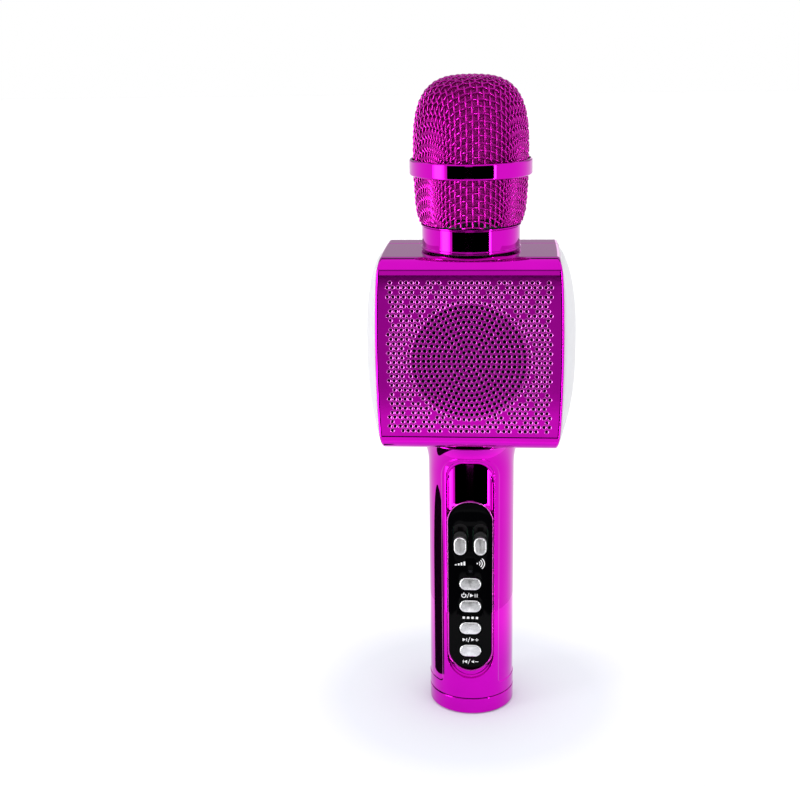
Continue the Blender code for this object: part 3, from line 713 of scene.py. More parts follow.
def end_bow(y, z, bulge=0.0):
    """Distance from the middle plane to the box's bowed end, plus a central bulge."""
    across = 1 - (y / BOX_HALF_DEPTH) ** 2
    height = abs(z - BOX_MIDDLE) / BOX_HALF_HEIGHT
    bow = END_BOW_DEPTH * across + END_BOW_HEIGHT * (1 - height ** 2) - END_EASING * height ** 12
    return BOX_HALF_WIDTH + bow + bulge * across * (1 - height ** 3)


def shell_rows(side, edge, corner, window):
    """Points down the outside of one shell in the Y-Z plane, each with the direction its skin faces."""
    depth = side * BOX_HALF_DEPTH
    outline = [(edge, BOX_TOP - WALL), (edge, BOX_TOP), (depth, BOX_TOP), (depth, BOX_BOTTOM),
               (edge, BOX_BOTTOM), (edge, BOX_BOTTOM + WALL)]
    line = fillet(outline, [0, 0.25, corner, corner, 0.25, 0], 14)
    rows = []
    for start, end in zip(line[:-1], line[1:]):
        rows.append(start)
        cuts = [z for z in window if min(start[1], end[1]) + 0.01 < z < max(start[1], end[1]) - 0.01]
        if abs(start[0] - end[0]) < 0.01 and abs(start[0] - depth) < 0.01:
            stations = set(cuts + list(np.linspace(start[1], end[1], 26)[1:-1]))
            stations = sorted(stations, reverse=bool(start[1] > end[1]))
            rows += [np.array((depth, z)) for z in stations]
        elif math.dist(start, end) > 3:
            rows += [start + (end - start) * k / 14 for k in range(1, 14)]
    rows.append(line[-1])
    pushes = []
    for y, z in rows:
        inner_y = min(max(side * y, side * edge), BOX_HALF_DEPTH - corner)
        inner_z = min(max(z, BOX_BOTTOM + corner), BOX_TOP - corner)
        away = np.array([max(side * y - inner_y, 0) * side, z - inner_z])
        if abs(z - BOX_TOP) < WALL + 0.1 and inner_y < BOX_HALF_DEPTH - corner:
            away = np.array([0.0, 1.0])
        if abs(z - BOX_BOTTOM) < WALL + 0.1 and inner_y < BOX_HALF_DEPTH - corner:
            away = np.array([0.0, -1.0])
        pushes.append(away / max(np.linalg.norm(away), 1e-6))
    return rows, pushes


def shell_skin(side, edge, corner, window):
    """The outside of one shell, leaving a window in its broad face for a perforated plate."""
    rows, pushes = shell_rows(side, edge, corner, window)
    ends = [(-3.0, WALL), (-0.35, WALL), (-0.1, WALL - 0.1), (0.0, WALL - 0.35), (0.0, END_ROUNDING + 0.05)]
    for k in range(9):
        angle = math.pi / 2 * (1 - k / 8)
        ends.append((END_ROUNDING * (math.sin(angle) - 1), END_ROUNDING * (1 - math.cos(angle))))
    ends.append((-END_ROUNDING - 0.1, 0.0))
    points = []
    for (y, z), (push_y, push_z) in zip(rows, pushes):
        half = end_bow(y, z)
        line = [(half + dx, drop) for dx, drop in ends] + [(WINDOW_X, 0.0)]
        full = [(-x, drop) for x, drop in line] + [(x, drop) for x, drop in line[::-1]]
        for x, drop in full:
            points.append((x, y - push_y * drop, z - push_z * drop))
    count = len(full)
    faces = []
    middle = count // 2 - 1
    for row in range(len(rows) - 1):
        z = (rows[row][1] + rows[row + 1][1]) / 2
        on_face = all(abs(y - side * BOX_HALF_DEPTH) < 0.01 for y, _ in rows[row:row + 2])
        for i in range(count - 1):
            if i == middle and on_face and window[0] < z < window[1]:
                continue
            a = row * count + i
            faces.append((a, a + 1, a + count + 1, a + count))
    return points, faces


def pits(holes, profile, y, side, segments):
    """Small turned hollows behind a plate, one at each (x, z)."""
    points, faces = [], []
    angles = 2 * math.pi * np.arange(segments) / segments
    for x, z in holes:
        base = len(points)
        for radius, depth in profile:
            if radius == 0:
                continue
            for a in angles:
                points.append((x + radius * math.cos(a), y - side * depth, z + radius * math.sin(a)))
        rings = sum(1 for radius, _ in profile if radius > 0)
        faces += strip_faces(rings, segments, True, base)
        if profile[-1][0] == 0:
            points.append((x, y - side * profile[-1][1], z))
            tip = len(points) - 1
            last = base + (rings - 1) * segments
            faces += [(last + i, last + (i + 1) % segments, tip) for i in range(segments)]
    return points, faces


def ring_holes(rings, spacing, start=0.0):
    """Centres of a round field: one hole in the middle, then rings of six, twelve and so on."""
    holes = [(0.0, SPEAKER_Z)]
    for ring in range(1, rings + 1):
        for k in range(6 * ring):
            angle = 2 * math.pi * k / (6 * ring) + start
            holes.append((ring * spacing * math.cos(angle), SPEAKER_Z + ring * spacing * math.sin(angle)))
    return holes


def front_dimples():
    """Centres of the shallow dimples: a hexagonal field with gaps, outside the loudspeaker's round one."""
    across, down, top = 2.03, 1.80, 181.6
    gaps = {0: (1, 6, 10), 1: (9,), 2: (1, 5, 12), 3: (8,), 4: (3,),
            5: (0,), 6: (3, 7), 7: (5,), 8: (1,), 9: (0,)}
    rows = 33
    holes = []
    for row in range(rows):
        columns = 30 if row % 2 == 0 else 31
        mirrored = min(row, rows - 1 - row)
        skipped = gaps.get(mirrored, ())
        for k in range(columns):
            if min(k, columns - 1 - k) in skipped:
                continue
            x = (k - (columns - 1) / 2) * across
            z = top - row * down
            if math.hypot(x, z - SPEAKER_Z) > 24.3:
                holes.append((x, z))
    return holes


def perforated(points, faces, window, y, side, kinds, segments=12):
    """Fill a shell's window with a plate pierced or dimpled by several kinds of hole."""
    outlines = []
    for holes, profile in kinds:
        radius = profile[0][0]
        for x, z in holes:
            outlines.append([(x + radius * math.cos(a), z + radius * math.sin(a))
                             for a in 2 * math.pi * np.arange(segments) / segments])
    outer = rounded(-WINDOW_X, WINDOW_X, window[0], window[1], [0.0001] * 4, 1)
    outer = divided(outer, 3.0)
    flat, triangles = triangulated(outer, outlines)
    base = len(points)
    points += [(x, y, z) for x, z in flat]
    faces += [tuple(int(i) + base for i in t) for t in triangles]
    for holes, profile in kinds:
        more, more_faces = pits(holes, profile, y, side, segments)
        base = len(points)
        points += more
        faces += [tuple(i + base for i in face) for face in more_faces]


def make_shells():
    """Both halves of the box: the front with its sound holes and dimples, the rear with vents and screws."""
    points, faces = shell_skin(-1, PARTING_Y, FRONT_CORNER, FRONT_WINDOW)
    bowl = [(0.83, 0.0), (0.66, 0.10), (0.60, 0.3), (0.52, 1.1), (0, 1.1)]
    through = [(0.81, 0.0), (0.75, 0.04), (0.73, 0.3), (0.72, 1.8)]
    kinds = [(front_dimples() + ring_holes(12, 1.91)[397:], bowl), (ring_holes(11, 1.91), through)]
    perforated(points, faces, FRONT_WINDOW, -BOX_HALF_DEPTH, -1, kinds)
    make_piece("front_housing", points, faces, PLATED_FACE, "chassis", ["front_shell"],
               rim=PAINTED_HIGHLIGHT_RIM)
    points, faces = shell_skin(1, REAR_LOW[1], REAR_CORNER, REAR_WINDOW)
    vent = [(0.85, 0.0), (0.72, 0.08), (0.70, 0.3), (0.70, 1.8)]
    screw = [(2.9, 0.0), (2.76, 0.09), (2.7, 0.25), (2.7, 7.0), (1.4, 7.0)]
    screws = [(x, z) for x in (-SCREW_X, SCREW_X) for z in SCREW_Z]
    kinds = [(ring_holes(7, 2.8), vent), (screws, screw)]
    perforated(points, faces, REAR_WINDOW, BOX_HALF_DEPTH, 1, kinds, 20)
    make_piece("rear_housing", points, faces, PLATED, "chassis", ["rear_shell"], rim=PAINTED_HIGHLIGHT_RIM)


def make_covers():
    """Milky covers at the box's ends: bulging lenses with rounded edges that rise from inside the shells."""
    inset = WALL + GAP - 0.2
    depth = BOX_HALF_DEPTH - inset
    front, rear = FRONT_CORNER - inset, max(REAR_CORNER - inset, 0.4)
    low, high = BOX_BOTTOM + inset, BOX_TOP - inset
    rim = divided([tuple(p) for p in rounded(-depth, depth, low, high, (rear, front, front, rear), 6)], 2.5)
    edge = 1.0
    rings = []
    for share in np.linspace(0.02, 1.0, 24):
        rings.append((share * 0.94, 0.0))
    for k in range(1, 7):
        angle = math.pi / 2 * k / 6
        rings.append((0.94 + 0.06 * math.sin(angle), edge * (1 - math.cos(angle))))
    rings.append((1.0, 4.0))
    for side, name in ((1, "right"), (-1, "left")):
        points = []
        for share, drop in rings:
            for y, z in rim:
                here_y, here_z = y * share, BOX_MIDDLE + (z - BOX_MIDDLE) * share
                points.append((side * (end_bow(here_y, here_z, LIGHT_BULGE) - drop), here_y, here_z))
        faces = strip_faces(len(rings), len(rim), True)
        faces.append(tuple(range(len(rim))))
        make_piece(f"{name}_light_lens", points, faces, MILKY, "chassis",
                   [f"{name}_light_cover"])


# ---------------------------------------------------------------- handle

def handle_radius(z):
    """Radius of the flutes, swelling in a concave sweep up to the box."""
    share = np.clip((z - FLARE_START) / (HANDLE_TOP - FLARE_START), 0, 1)
    return SPINE_RADIUS - STEP + (FLARE_RADIUS - SPINE_RADIUS + STEP) * share ** 2.6


def rectangle_distance(x, z, half, bottom, top, corner_top, corner_bottom):
    """Signed distance to a rounded rectangle, negative inside."""
    middle, tall = (bottom + top) / 2, (top - bottom) / 2
    corner = np.where(z > middle, corner_top, corner_bottom)
    dx, dz = np.abs(x) - half + corner, np.abs(z - middle) - tall + corner
    outside = np.hypot(np.maximum(dx, 0), np.maximum(dz, 0))
    return outside + np.minimum(np.maximum(dx, dz), 0) - corner


def ramp(value, low, high):
    t = np.clip((value - low) / (high - low), 0, 1)
    return t * t * (3 - 2 * t)


def flute_depth(x, z):
    """How far the skin lies behind the spine's surface at the front."""
    spine = rectangle_distance(x, z, SPINE_HALF, -40.0, SPINE_TOP, SPINE_CORNER, 0.1)
    across, up = np.abs(x) - SPINE_HALF, z - FLUTE_BOTTOM
    in_corner = (across < FLUTE_CORNER) & (up < FLUTE_CORNER) & (across > -1) & (up > -1)
    rounded_corner = FLUTE_CORNER - np.hypot(across - FLUTE_CORNER, up - FLUTE_CORNER)
    distance = np.where(in_corner, rounded_corner, np.minimum(spine, up))
    return STEP * ramp(distance, -0.14, 0.14)


def front_height(x, z):
    """Distance from the handle's middle plane to its front skin."""
    radius = handle_radius(z) + STEP - flute_depth(x, z)
    outer = np.sqrt(np.maximum(radius ** 2 - x ** 2, 1.0))
    recess = rectangle_distance(x, z, *RECESS)
    lip = 0.18
    lip_drop = lip - np.sqrt(np.maximum(lip ** 2 - np.clip(lip - recess, 0, lip) ** 2, 0))
    width = 0.25 + 1.5 * ramp(z, 99.0, 106.0) + 1.0 * (1 - ramp(z, 19.0, 24.0))
    share = np.clip(-recess / width, 0, 1)
    floor_drop = lip + (RECESS_DEPTH - lip) * np.sqrt(np.maximum(1 - (1 - share) ** 2, 0))
    depth = np.where(recess > 0, lip_drop, floor_drop)
    height = np.sqrt(np.maximum((radius - depth) ** 2 - x ** 2, 1.0))
    floor = np.sqrt(FLOOR_RADIUS ** 2 - x ** 2) - FLOOR_RADIUS + SPINE_RADIUS - RECESS_DEPTH
    height = np.where(recess > 0, height, outer - (outer - floor) * depth / RECESS_DEPTH)
    height = np.where(recess > lip, outer, height)
    rim = panel_distance(x, z)
    rim_height = np.maximum(-PANEL_LOW[1] + 0.12, height + 0.1 * (recess < -0.5))
    rim_share = 1 - ramp(rim, 0.28, 0.36)
    return np.where(rim < 0.36, height + (np.maximum(rim_height, height) - height) * rim_share, height)


def panel_distance(x, z):
    half = PANEL_HIGH[0]
    return rectangle_distance(x, z, half, PANEL_LOW[2], PANEL_HIGH[2], half - 0.01, half - 0.01)


def patch(height, outer, holes, curves, extra, side):
    """A piece of the handle's skin over the X-Z plane, with its exact normals."""
    flat, triangles = triangulated(outer, holes, curves, extra)
    x, z = flat[:, 0], flat[:, 1]
    y = height(x, z)
    step = 0.01
    slope_x = (height(x + step, z) - height(x - step, z)) / (2 * step)
    slope_z = (height(x, z + step) - height(x, z - step)) / (2 * step)
    normals = np.stack([-slope_x, np.full(len(x), float(side)), -slope_z], 1)
    normals /= np.linalg.norm(normals, axis=1)[:, None]
    points = np.stack([x, side * y, z], 1)
    a, b, c = (points[triangles[:, k]] for k in range(3))
    facing = np.cross(b - a, c - a)[:, 1] * side
    triangles = np.where((facing < 0)[:, None], triangles[:, ::-1], triangles)
    return points, triangles, normals


def offset_outline(half, bottom, top, corner_top, corner_bottom, offset, steps=14):
    radii = [corner_top + offset, corner_top + offset, corner_bottom + offset, corner_bottom + offset]
    radii = [max(0.01, radius) for radius in radii]
    line = rounded(-half - offset, half + offset, bottom - offset, top + offset, radii, steps)
    return divided([tuple(p) for p in line], 1.6)


def spine_line(offset):
    """The edge between the spine and the flutes, from one side of the front patch to the other."""
    half = SPINE_HALF + offset
    low = FLUTE_BOTTOM + offset
    corner = FLUTE_CORNER
    right = [(PATCH_HALF, low)]
    for k in range(9):
        angle = math.radians(270 - 90 * k / 8)
        centre = (half + corner, low + corner)
        spot = (centre[0] + corner * math.cos(angle), centre[1] + corner * math.sin(angle))
        if spot[0] < PATCH_HALF:
            right.append(spot)
    radius = SPINE_CORNER + offset
    centre = (half - radius, SPINE_TOP + offset - radius)
    arch = [(centre[0] + radius * math.cos(math.radians(a)), centre[1] + radius * math.sin(math.radians(a)))
            for a in np.linspace(0, 90, 17)]
    right += arch
    left = [(-x, z) for x, z in right[::-1]]
    return divided([tuple(p) for p in right + left[(1 if abs(left[0][0]) < 1e-6 else 0):]], 1.6, False)


def handle_rows():
    """Heights of the skin's rows: close together where the profile changes."""
    rows = [HANDLE_BOTTOM + 0.25]
    rows += list(np.arange(9.0, 12.2, 1.6)) + [12.2] + list(np.linspace(12.34, 12.66, 5)) + [12.8]
    rows += list(np.arange(14.5, FLARE_START, 1.6))
    rows += list(np.linspace(FLARE_START, HANDLE_TOP - 0.3, 26))
    return rows


def wall_ring(outline, height, side, depth):
    """The wall of a hole through the skin, from its surface inwards."""
    ring = np.array(outline)
    top = height(ring[:, 0], ring[:, 1])
    points = [(x, side * y, z) for (x, z), y in zip(ring, top)]
    points += [(x, side * depth, z) for x, z in ring]
    centre = ring.mean(axis=0)
    away = centre - ring
    away /= np.linalg.norm(away, axis=1)[:, None]
    normals = [(ax, 0.0, az) for ax, az in away] * 2
    return points, strip_faces(2, len(ring), True), normals


def rear_height(x, z):
    radius = handle_radius(z) + STEP - STEP * ramp(z - FLUTE_BOTTOM, -0.14, 0.14)
    return np.sqrt(np.maximum(radius ** 2 - x ** 2, 1.0))


def side_patch(side):
    """One side of the handle, between the front and rear patches."""
    rows = handle_rows()
    points, normals = [], []
    share = np.linspace(0, 1, 41)
    for z in rows:
        radius = float(handle_radius(z) + STEP - STEP * ramp(z - FLUTE_BOTTOM, -0.14, 0.14))
        step = 0.01
        slope = float(handle_radius(z + step) - handle_radius(z - step)) / (2 * step)
        slope -= float(STEP * (ramp(z + step - FLUTE_BOTTOM, -0.14, 0.14)
                               - ramp(z - step - FLUTE_BOTTOM, -0.14, 0.14))) / (2 * step)
        start = math.asin(PATCH_HALF / radius)
        for t in share:
            angle = start + (math.pi - 2 * start) * t
            out = (side * math.sin(angle), -math.cos(angle))
            points.append((radius * out[0], radius * out[1], z))
            normal = np.array([out[0], out[1], -slope])
            normals.append(normal / np.linalg.norm(normal))
    return points, strip_faces(len(rows), len(share), False), normals


def end_ring(z, outward, radius_at):
    """The rounded rim and flat end of the handle's skin."""
    steps = 128
    rounding = 0.25
    inner = 15.0
    direction = 1 if outward > 0 else -1
    levels = []
    for k in range(5):
        angle = math.pi / 2 * k / 4
        levels.append((radius_at - rounding * (1 - math.cos(angle)),
                       z + direction * rounding * math.sin(angle),
                       math.cos(angle), direction * math.sin(angle)))
    levels.append((inner, z + direction * rounding, 0.0, direction))
    points, normals = [], []
    for radius, height, out, up in levels:
        for k in range(steps):
            a = 2 * math.pi * k / steps
            points.append((radius * math.sin(a), -radius * math.cos(a), height))
            normals.append((out * math.sin(a), -out * math.cos(a), up))
    return points, strip_faces(len(levels), steps, True), normals


def make_handle():
    """The handle's skin as one shell of patches with exact normals, and the base cap."""
    rows = handle_rows()
    low, high = rows[0], rows[-1]
    right = [(PATCH_HALF, z) for z in rows]
    left = [(-PATCH_HALF, z) for z in rows[::-1]]
    across = [(x, high) for x in np.linspace(PATCH_HALF, -PATCH_HALF, 24)[1:-1]]
    back = [(x, low) for x in np.linspace(-PATCH_HALF, PATCH_HALF, 24)[1:-1]]
    outer = right + across + left + back
    grid = [(x, z) for x in np.arange(-12.6, 12.7, 1.2) for z in rows[1:-1]]
    half = PANEL_HIGH[0]
    pocket = slot_outline(0, (PANEL_LOW[2] + PANEL_HIGH[2]) / 2, 2 * half, PANEL_HIGH[2] - PANEL_LOW[2], 16)
    hole = divided([tuple(p) for p in pocket(0.06)], 1.6)
    curves = [(divided([tuple(p) for p in pocket(d)], 1.6), True) for d in (0.16, 0.27, 0.36)]
    for d in (0.19, 0.14, 0.08, 0.03, -0.01, -0.05, -0.12, -0.25, -0.45, -0.8, -1.2, -1.75):
        if d < -0.3:
            grid += [tuple(p) for p in offset_outline(*RECESS, d) if panel_distance(p[0], p[1]) > 0.5]
        else:
            curves.append((offset_outline(*RECESS, d), True))
    curves += [(spine_line(d), False) for d in (-0.14, -0.07, 0.0, 0.07, 0.14)]
    spacing = np.array(grid)
    spacing = spacing[panel_distance(spacing[:, 0], spacing[:, 1]) > 0.45]
    parts = [patch(front_height, outer, [hole], curves, spacing, -1), wall_ring(hole, front_height, -1, 12.9)]
    ports = [slot_outline(0, 22.5, 9.6, 3.9)(), circle_outline(0, 31.5, 3.4, 32)()]
    grid = np.array([(x, z) for x in np.arange(-12.6, 12.7, 1.2) for z in rows[1:-1]])
    parts.append(patch(rear_height, outer, ports, [], grid, 1))
    parts += [wall_ring(port, rear_height, 1, 14.6) for port in ports]
    parts += [side_patch(-1), side_patch(1)]
    parts.append(end_ring(high, 1, float(handle_radius(high))))
    parts.append(end_ring(low, -1, SPINE_RADIUS))
    points, faces, normals = [], [], []
    for part_points, part_faces, part_normals in parts:
        base = len(points)
        points += [tuple(p) for p in part_points]
        normals += [tuple(n) for n in part_normals]
        faces += [tuple(int(i) + base for i in face) for face in part_faces]
    make_piece("handle_body", points, faces, PLATED, "chassis", ["handle_shell"],
               normals=normals)
    radius = BASE_HIGH[0]
    profile = fillet([(14.7, 11.5), (14.7, BASE_TOP), (radius, BASE_TOP), (radius, 0.0), (0.01, 0.0),
                      (0.01, 2.6), (12.4, 2.6), (12.4, 11.5)][::-1], [0.1, 0, 0, 0, 1.1, 0.3, 0, 0.1])
    lathe("base_ring", profile, PLATED, "chassis", ["base_cap"])


# ---------------------------------------------------------------- control panel

BUTTONS = ("power", "mode", "next", "previous")


def middle_of(node):
    """The centre of a CAD node's box."""
    low, high = node_box(node)
    return (low + high) / 2


def make_panel():
    """The black panel with its bezel, keys and sliders."""
    front, back = PANEL_LOW[1], PANEL_HIGH[1]
    half = PANEL_HIGH[0]
    outer = slot_outline(0, (PANEL_LOW[2] + PANEL_HIGH[2]) / 2, 2 * half, PANEL_HIGH[2] - PANEL_LOW[2], 16)
    slots = [slot_outline(side * SLIDER_X, SLIDER_Z, *SLIDER_SLOT) for side in (-1, 1)]
    openings = [slot_outline(0, middle_of(f"{name}_switch")[2], *KEY_OPENING) for name in BUTTONS]
    lens = middle_of("indicator_lens")
    holes = slots + openings + [circle_outline(0, lens[2], 0.95)]
    plate("panel_face", outer, holes, front, back, 0.16, PANEL, "chassis", ["control_panel"])
    # A thin tube round the panel in the paler rim plating: a painted highlight line.
    points, faces = [], []
    bezel = outer(0.3)
    closed = [tuple(spot) for spot in bezel] + [tuple(bezel[0])]
    path = np.array([(x, front_height(np.array([x]), np.array([z]))[0] * -1, z) for x, z in closed])
    add_tube(points, faces, path, np.array([0.0, -1.0, 0.0]), 0.2, 8)
    make_piece("panel_bezel", points, faces, PAINTED_HIGHLIGHT_RIM, "chassis")
    for name in BUTTONS:
        low, _ = node_box(f"{name}_button")
        z = middle_of(f"{name}_switch")[2]
        plate(f"{name}_key", slot_outline(0, z, *KEY_SIZE, 12), [], low[1], back + 1.0, 0.55, SPUN,
              f"{name}_button", [f"{name}_button"], (0, low[1], z), 6)
    for side, name in ((-1, "volume"), (1, "echo")):
        low, high = node_box(f"{name}_knob")
        x, z = (low[0] + high[0]) / 2, (low[2] + high[2]) / 2
        plate(f"{name}_slider", slot_outline(x, z, high[0] - low[0], high[2] - low[2], 12), [], low[1],
              back, 0.6, SPUN, f"{name}_knob", [f"{name}_knob"], (x, low[1], z), 6)
        plate(f"{name}_carrier", slot_outline(x, z + 0.6, 5.5, 10.2, 12), [], front + 0.55, back, 0.15,
              CARRIER, f"{name}_knob")
        plate(f"{name}_ridge", slot_outline(x, z, 3.3, 0.34, 4), [], low[1], low[1] + 0.1, 0.02, SPUN,
              f"{name}_knob")


# ---------------------------------------------------------------- printed symbols

def bar(x, z, width, height, lean=0.0):
    """A rectangle, leaning to the right by a share of its height."""
    w, h = width / 2, height / 2
    return [(x + w + lean * h, z + h), (x - w + lean * h, z + h),
            (x - w - lean * h, z - h), (x + w - lean * h, z - h)]


def arc_band(x, z, radius, width, start, end, steps=14):
    angles = [math.radians(start + (end - start) * k / steps) for k in range(steps + 1)]
    outer = [(x + (radius + width / 2) * math.cos(a), z + (radius + width / 2) * math.sin(a)) for a in angles]
    inner = [(x + (radius - width / 2) * math.cos(a), z + (radius - width / 2) * math.sin(a)) for a in angles]
    return outer + inner[::-1]


def triangle(x, z, size, direction):
    """A play triangle pointing right (1) or left (-1)."""
    return [(x + direction * size * 0.5, z), (x - direction * size * 0.45, z + size * 0.52),
            (x - direction * size * 0.45, z - size * 0.52)]


def print_symbols(name, z, shapes, x=0.0, scale=1.27):
    front = PANEL_LOW[1]
    points, faces = [], []
    for outline in shapes:
        shape = [(x + across * scale, up * scale) for across, up in outline]
        flat, triangles = triangulated(shape)
        base = len(points)
        points += [(x, front - 0.012, z + up) for x, up in flat]
        faces += [tuple(int(i) + base for i in t) for t in triangles]
    make_piece(name, points, faces, PRINT, "chassis")


def make_symbols():
    """The printed symbols beside the sliders and keys."""
    wedge = []
    for k in range(4):
        left, foot, top = -1.6 + 0.9 * k, -0.75, -0.4 + 0.32 * k
        wedge.append([(left, foot), (left + 0.55, foot), (left + 0.55, top), (left, top)])
    print_symbols("volume_symbol", 65.9, wedge, -4.1)
    waves = [arc_band(-1.4, 0.0, radius, 0.32, -50, 50) for radius in (1.0, 1.9, 2.8)]
    print_symbols("echo_symbol", 65.9, waves + [bar(-1.5, 0, 0.5, 0.5)], 4.3, 1.0)
    power = [arc_band(-2.05, 0, 0.68, 0.26, 128, 412), bar(-2.05, 0.55, 0.26, 0.8),
             bar(-0.72, 0, 0.2, 1.7, 0.35),
             triangle(0.42, 0, 1.15, 1), bar(1.5, 0, 0.24, 1.15), bar(2.15, 0, 0.24, 1.15)]
    print_symbols("power_symbol", 51.9, power)
    mode = [bar(x, 0, 0.75, 0.75) for x in (-2.1, -0.7, 0.7, 2.1)]
    print_symbols("mode_symbol", 42.1, mode)
    forward = [triangle(-2.0, 0, 1.1, 1), bar(-1.2, 0, 0.24, 1.1), bar(-0.45, 0, 0.2, 1.7, 0.35),
               triangle(0.75, 0, 1.0, 1), bar(2.05, 0, 1.0, 0.24), bar(2.05, 0, 0.24, 1.0)]
    print_symbols("next_symbol", 32.35, forward)
    backward = [bar(-2.3, 0, 0.24, 1.1), triangle(-1.55, 0, 1.1, -1), bar(-0.45, 0, 0.2, 1.7, 0.35),
                triangle(0.75, 0, 1.0, -1), bar(2.05, 0, 1.0, 0.24)]
    print_symbols("previous_symbol", 22.5, backward)


# ---------------------------------------------------------------- stage, light and camera

def stage_mesh(name, points, look):
    mesh = bpy.data.meshes.new(name)
    mesh.from_pydata(points, [], [tuple(range(len(points)))])
    mesh.materials.append(look)
    item = bpy.data.objects.new(name, mesh)
    bpy.context.scene.collection.objects.link(item)
    return item


def make_stage():
    """The pale table with a bluish-grey shadow painted round the microphone's foot, and a dark card that only
    reflections see.
    """
    look, tree, shader = surface("pale_table_painted_shadow", (0.93, 0.93, 0.94), 0.9)
    shader.inputs["Specular IOR Level"].default_value = 0.0
    # Painted shadow: bluish-grey near the foot, fading to the plain table colour 13 cm out.
    distance = tree.nodes.new("ShaderNodeVectorMath")
    distance.operation = "LENGTH"
    tree.links.new(coordinates(tree), distance.inputs[0])
    share = remap(tree, distance.outputs["Value"], 0.02, 0.13, 0.0, 1.0)
    vary_color(tree, shader, share, (0.74, 0.77, 0.81), (0.93, 0.935, 0.94))
    circle_points = [(0.11 * math.cos(a), 0.11 * math.sin(a), 0.0) for a in np.arange(64) * math.pi / 32]
    stage_mesh("table_near", circle_points, look)
    reach = 4.0
    corners = ((-reach, -reach), (reach, -reach), (reach, reach), (-reach, reach))
    far = stage_mesh("table_far", [(x, y, -0.0002) for x, y in corners], look)
    far.visible_glossy = False
    dark, _, _ = surface("dark_flag", (0.0, 0.0, 0.0), 1.0)
    flag = [(-0.040, -0.0175, 0.0005), (-0.040, 0.0085, 0.0005)]
    flag += [(-0.040, -0.0045 + 0.013 * math.cos(a), 0.050 + 0.038 * math.sin(a))
             for a in np.linspace(0, math.pi, 17)]
    item = stage_mesh("dark_flag", flag, dark)
    item.visible_camera = False
    item.visible_diffuse = False
    item.visible_shadow = False


def math_node(tree, operation, first, second=None):
    node = tree.nodes.new("ShaderNodeMath")
    node.operation = operation
    for socket, value in zip(node.inputs, (first, second)):
        if value is None:
            continue
        if isinstance(value, (int, float)):
            socket.default_value = value
        else:
            tree.links.new(value, socket)
    return node.outputs[0]


def soft_range(tree, value, low, high, blur):
    """1 where a value lies between two limits, with soft edges."""
    rise = tree.nodes.new("ShaderNodeMapRange")
    rise.interpolation_type = "SMOOTHSTEP"
    fall = tree.nodes.new("ShaderNodeMapRange")
    fall.interpolation_type = "SMOOTHSTEP"
    for node, a, b in ((rise, low - blur, low + blur), (fall, high + blur, high - blur)):
        node.inputs["From Min"].default_value = a
        node.inputs["From Max"].default_value = b
        tree.links.new(value, node.inputs["Value"])
    return math_node(tree, "MULTIPLY", rise.outputs[0], fall.outputs[0])


# Light seen in reflections: (level, azimuth from, to, blur, elevation from, to, blur), later ones on top.
STUDIO = (
    (0.45, 130, 230, 10.0, 2, 40, 3.0),
    (1.3, 168, 177.5, 0.8, 2, 14, 1.0),
    (0.0, 120, 240, 6.0, 46, 61, 2.0),
    (0.0, -43, 45, 0.8, -28.5, 20, 0.6),
    (0.25, -60, 60, 5.0, 19, 29, 1.5),
    (0.42, -11, 7, 2.0, -18.6, -11.2, 0.3),
    (0.85, -11, 7, 2.0, -18.6, -16.6, 0.6),
    (0.65, -9, 5, 1.5, -4.5, 20, 0.5),
    (20.0, 46.0, 49.0, 0.3, -28, 20, 1.0),
    (12.0, -70, -52, 5.0, -28, 20, 1.0),
)


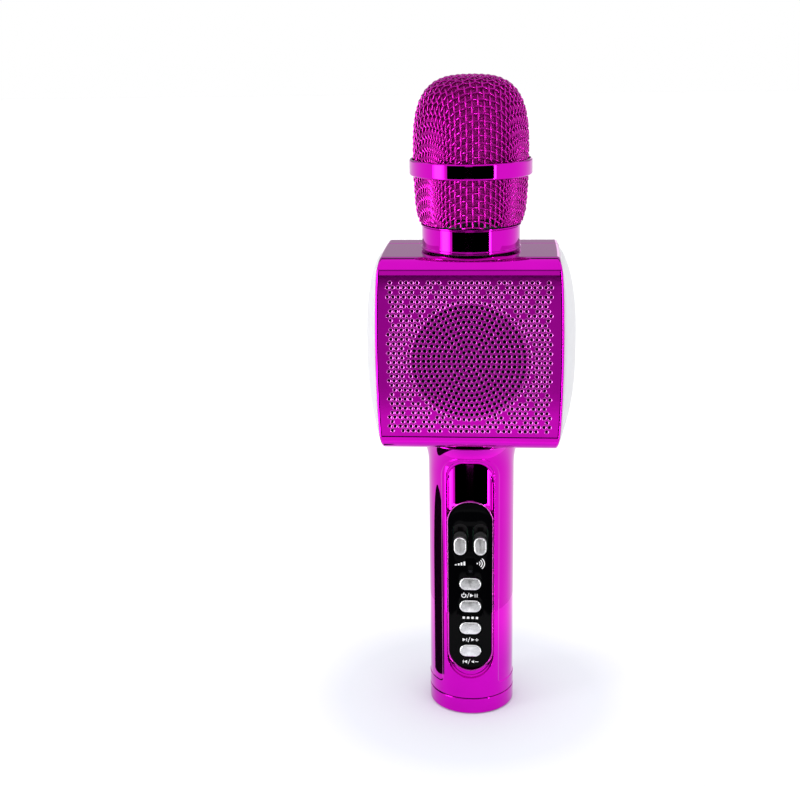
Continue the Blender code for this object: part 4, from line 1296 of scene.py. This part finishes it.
def make_world():
    """A world that is plain white in view and a studio of dark and bright panels in reflections."""
    world = bpy.data.worlds.new("studio")
    bpy.context.scene.world = world
    world.use_nodes = True
    tree = world.node_tree
    back = tree.nodes["Background"]
    direction = tree.nodes.new("ShaderNodeTexCoord").outputs["Generated"]
    split = tree.nodes.new("ShaderNodeSeparateXYZ")
    tree.links.new(direction, split.inputs[0])
    x, y, z = split.outputs
    azimuth = math_node(tree, "DEGREES", math_node(tree, "ARCTAN2", x, math_node(tree, "MULTIPLY", y, -1.0)))
    elevation = math_node(tree, "DEGREES", math_node(tree, "ARCSINE", z))
    behind = math_node(tree, "LESS_THAN", azimuth, -90.0)
    wrapped = math_node(tree, "ADD", azimuth, math_node(tree, "MULTIPLY", behind, 360.0))
    level = None
    for value, a0, a1, a_blur, e0, e1, e_blur in STUDIO:
        source = wrapped if a1 > 100 else azimuth
        mask = math_node(tree, "MULTIPLY", soft_range(tree, source, a0, a1, a_blur),
                         soft_range(tree, elevation, e0, e1, e_blur))
        before = 1.0 if level is None else level
        keep = math_node(tree, "MULTIPLY", math_node(tree, "SUBTRACT", 1.0, mask), before)
        level = math_node(tree, "ADD", keep, math_node(tree, "MULTIPLY", mask, value))
    path = tree.nodes.new("ShaderNodeLightPath")
    seen = math_node(tree, "MAXIMUM", path.outputs["Is Camera Ray"], path.outputs["Is Diffuse Ray"])
    reflected = math_node(tree, "MULTIPLY", math_node(tree, "SUBTRACT", 1.0, seen), level)
    shown = math_node(tree, "ADD", seen, reflected)
    shown = math_node(tree, "ADD", shown, math_node(tree, "MULTIPLY", path.outputs["Is Diffuse Ray"], 0.12))
    tree.links.new(shown, back.inputs["Strength"])
    back.inputs["Color"].default_value = (1.0, 1.0, 1.0, 1.0)


def make_light():
    """One broad soft source overhead, for the table's shadow."""
    data = bpy.data.lights.new("overhead", "AREA")
    data.shape = "DISK"
    data.size = 0.9
    data.energy = 2.5
    lamp = bpy.data.objects.new("overhead", data)
    lamp.location = (0.1, -0.15, 1.1)
    lamp.rotation_euler = Vector((0.1, -0.15, 1.1 - 0.1)).to_track_quat("Z", "Y").to_euler()
    lamp.visible_glossy = False
    bpy.context.scene.collection.objects.link(lamp)


def make_camera():
    """The photograph's viewpoint, as fitted to it; focal is for a picture 800 units wide."""
    focal, distance, height = 1345.0, 513.425, 279.707
    pitch, aim, azimuth, roll = (math.radians(angle) for angle in (16.256, 3.158, 1.918, -0.971))
    heading = azimuth + aim
    forward = Vector((-math.sin(heading) * math.cos(pitch), math.cos(heading) * math.cos(pitch),
                      -math.sin(pitch)))
    right = Vector((math.cos(heading), math.sin(heading), 0.0))
    up = right.cross(forward)
    turned_right = right * math.cos(roll) + up * math.sin(roll)
    turned_up = -right * math.sin(roll) + up * math.cos(roll)
    data = bpy.data.cameras.new("camera")
    data.sensor_width = 36.0
    data.lens = focal * data.sensor_width / 800
    data.clip_start = 0.01
    camera = bpy.data.objects.new("camera", data)
    basis = Matrix((turned_right, turned_up, -forward)).transposed().to_4x4()
    place = Vector((distance * math.sin(azimuth), -distance * math.cos(azimuth), height)) * MM
    camera.matrix_world = Matrix.Translation(place) @ basis
    bpy.context.scene.collection.objects.link(camera)
    bpy.context.scene.camera = camera


def dress_nodes():
    """Give every CAD node that still shows the finish of its slot, except the steel parts deep inside the
    microphone, which get a near-black steel as painted shade.
    """
    for part in frame["record"]["subparts"]:
        item = frame["nodes"][part["node"]]
        if item.hide_render:
            continue
        look = STEEL_PAINTED_SHADE if part["node"] in PAINTED_SHADE_NODES else SLOT_LOOKS[part["material_slot"]]
        item.data.materials.clear()
        item.data.materials.append(look)


make_head()
make_shells()
make_covers()
make_handle()
make_panel()
make_symbols()
dress_nodes()
make_stage()
make_world()
make_light()
make_camera()
bpy.context.scene.view_settings.view_transform = "Standard"
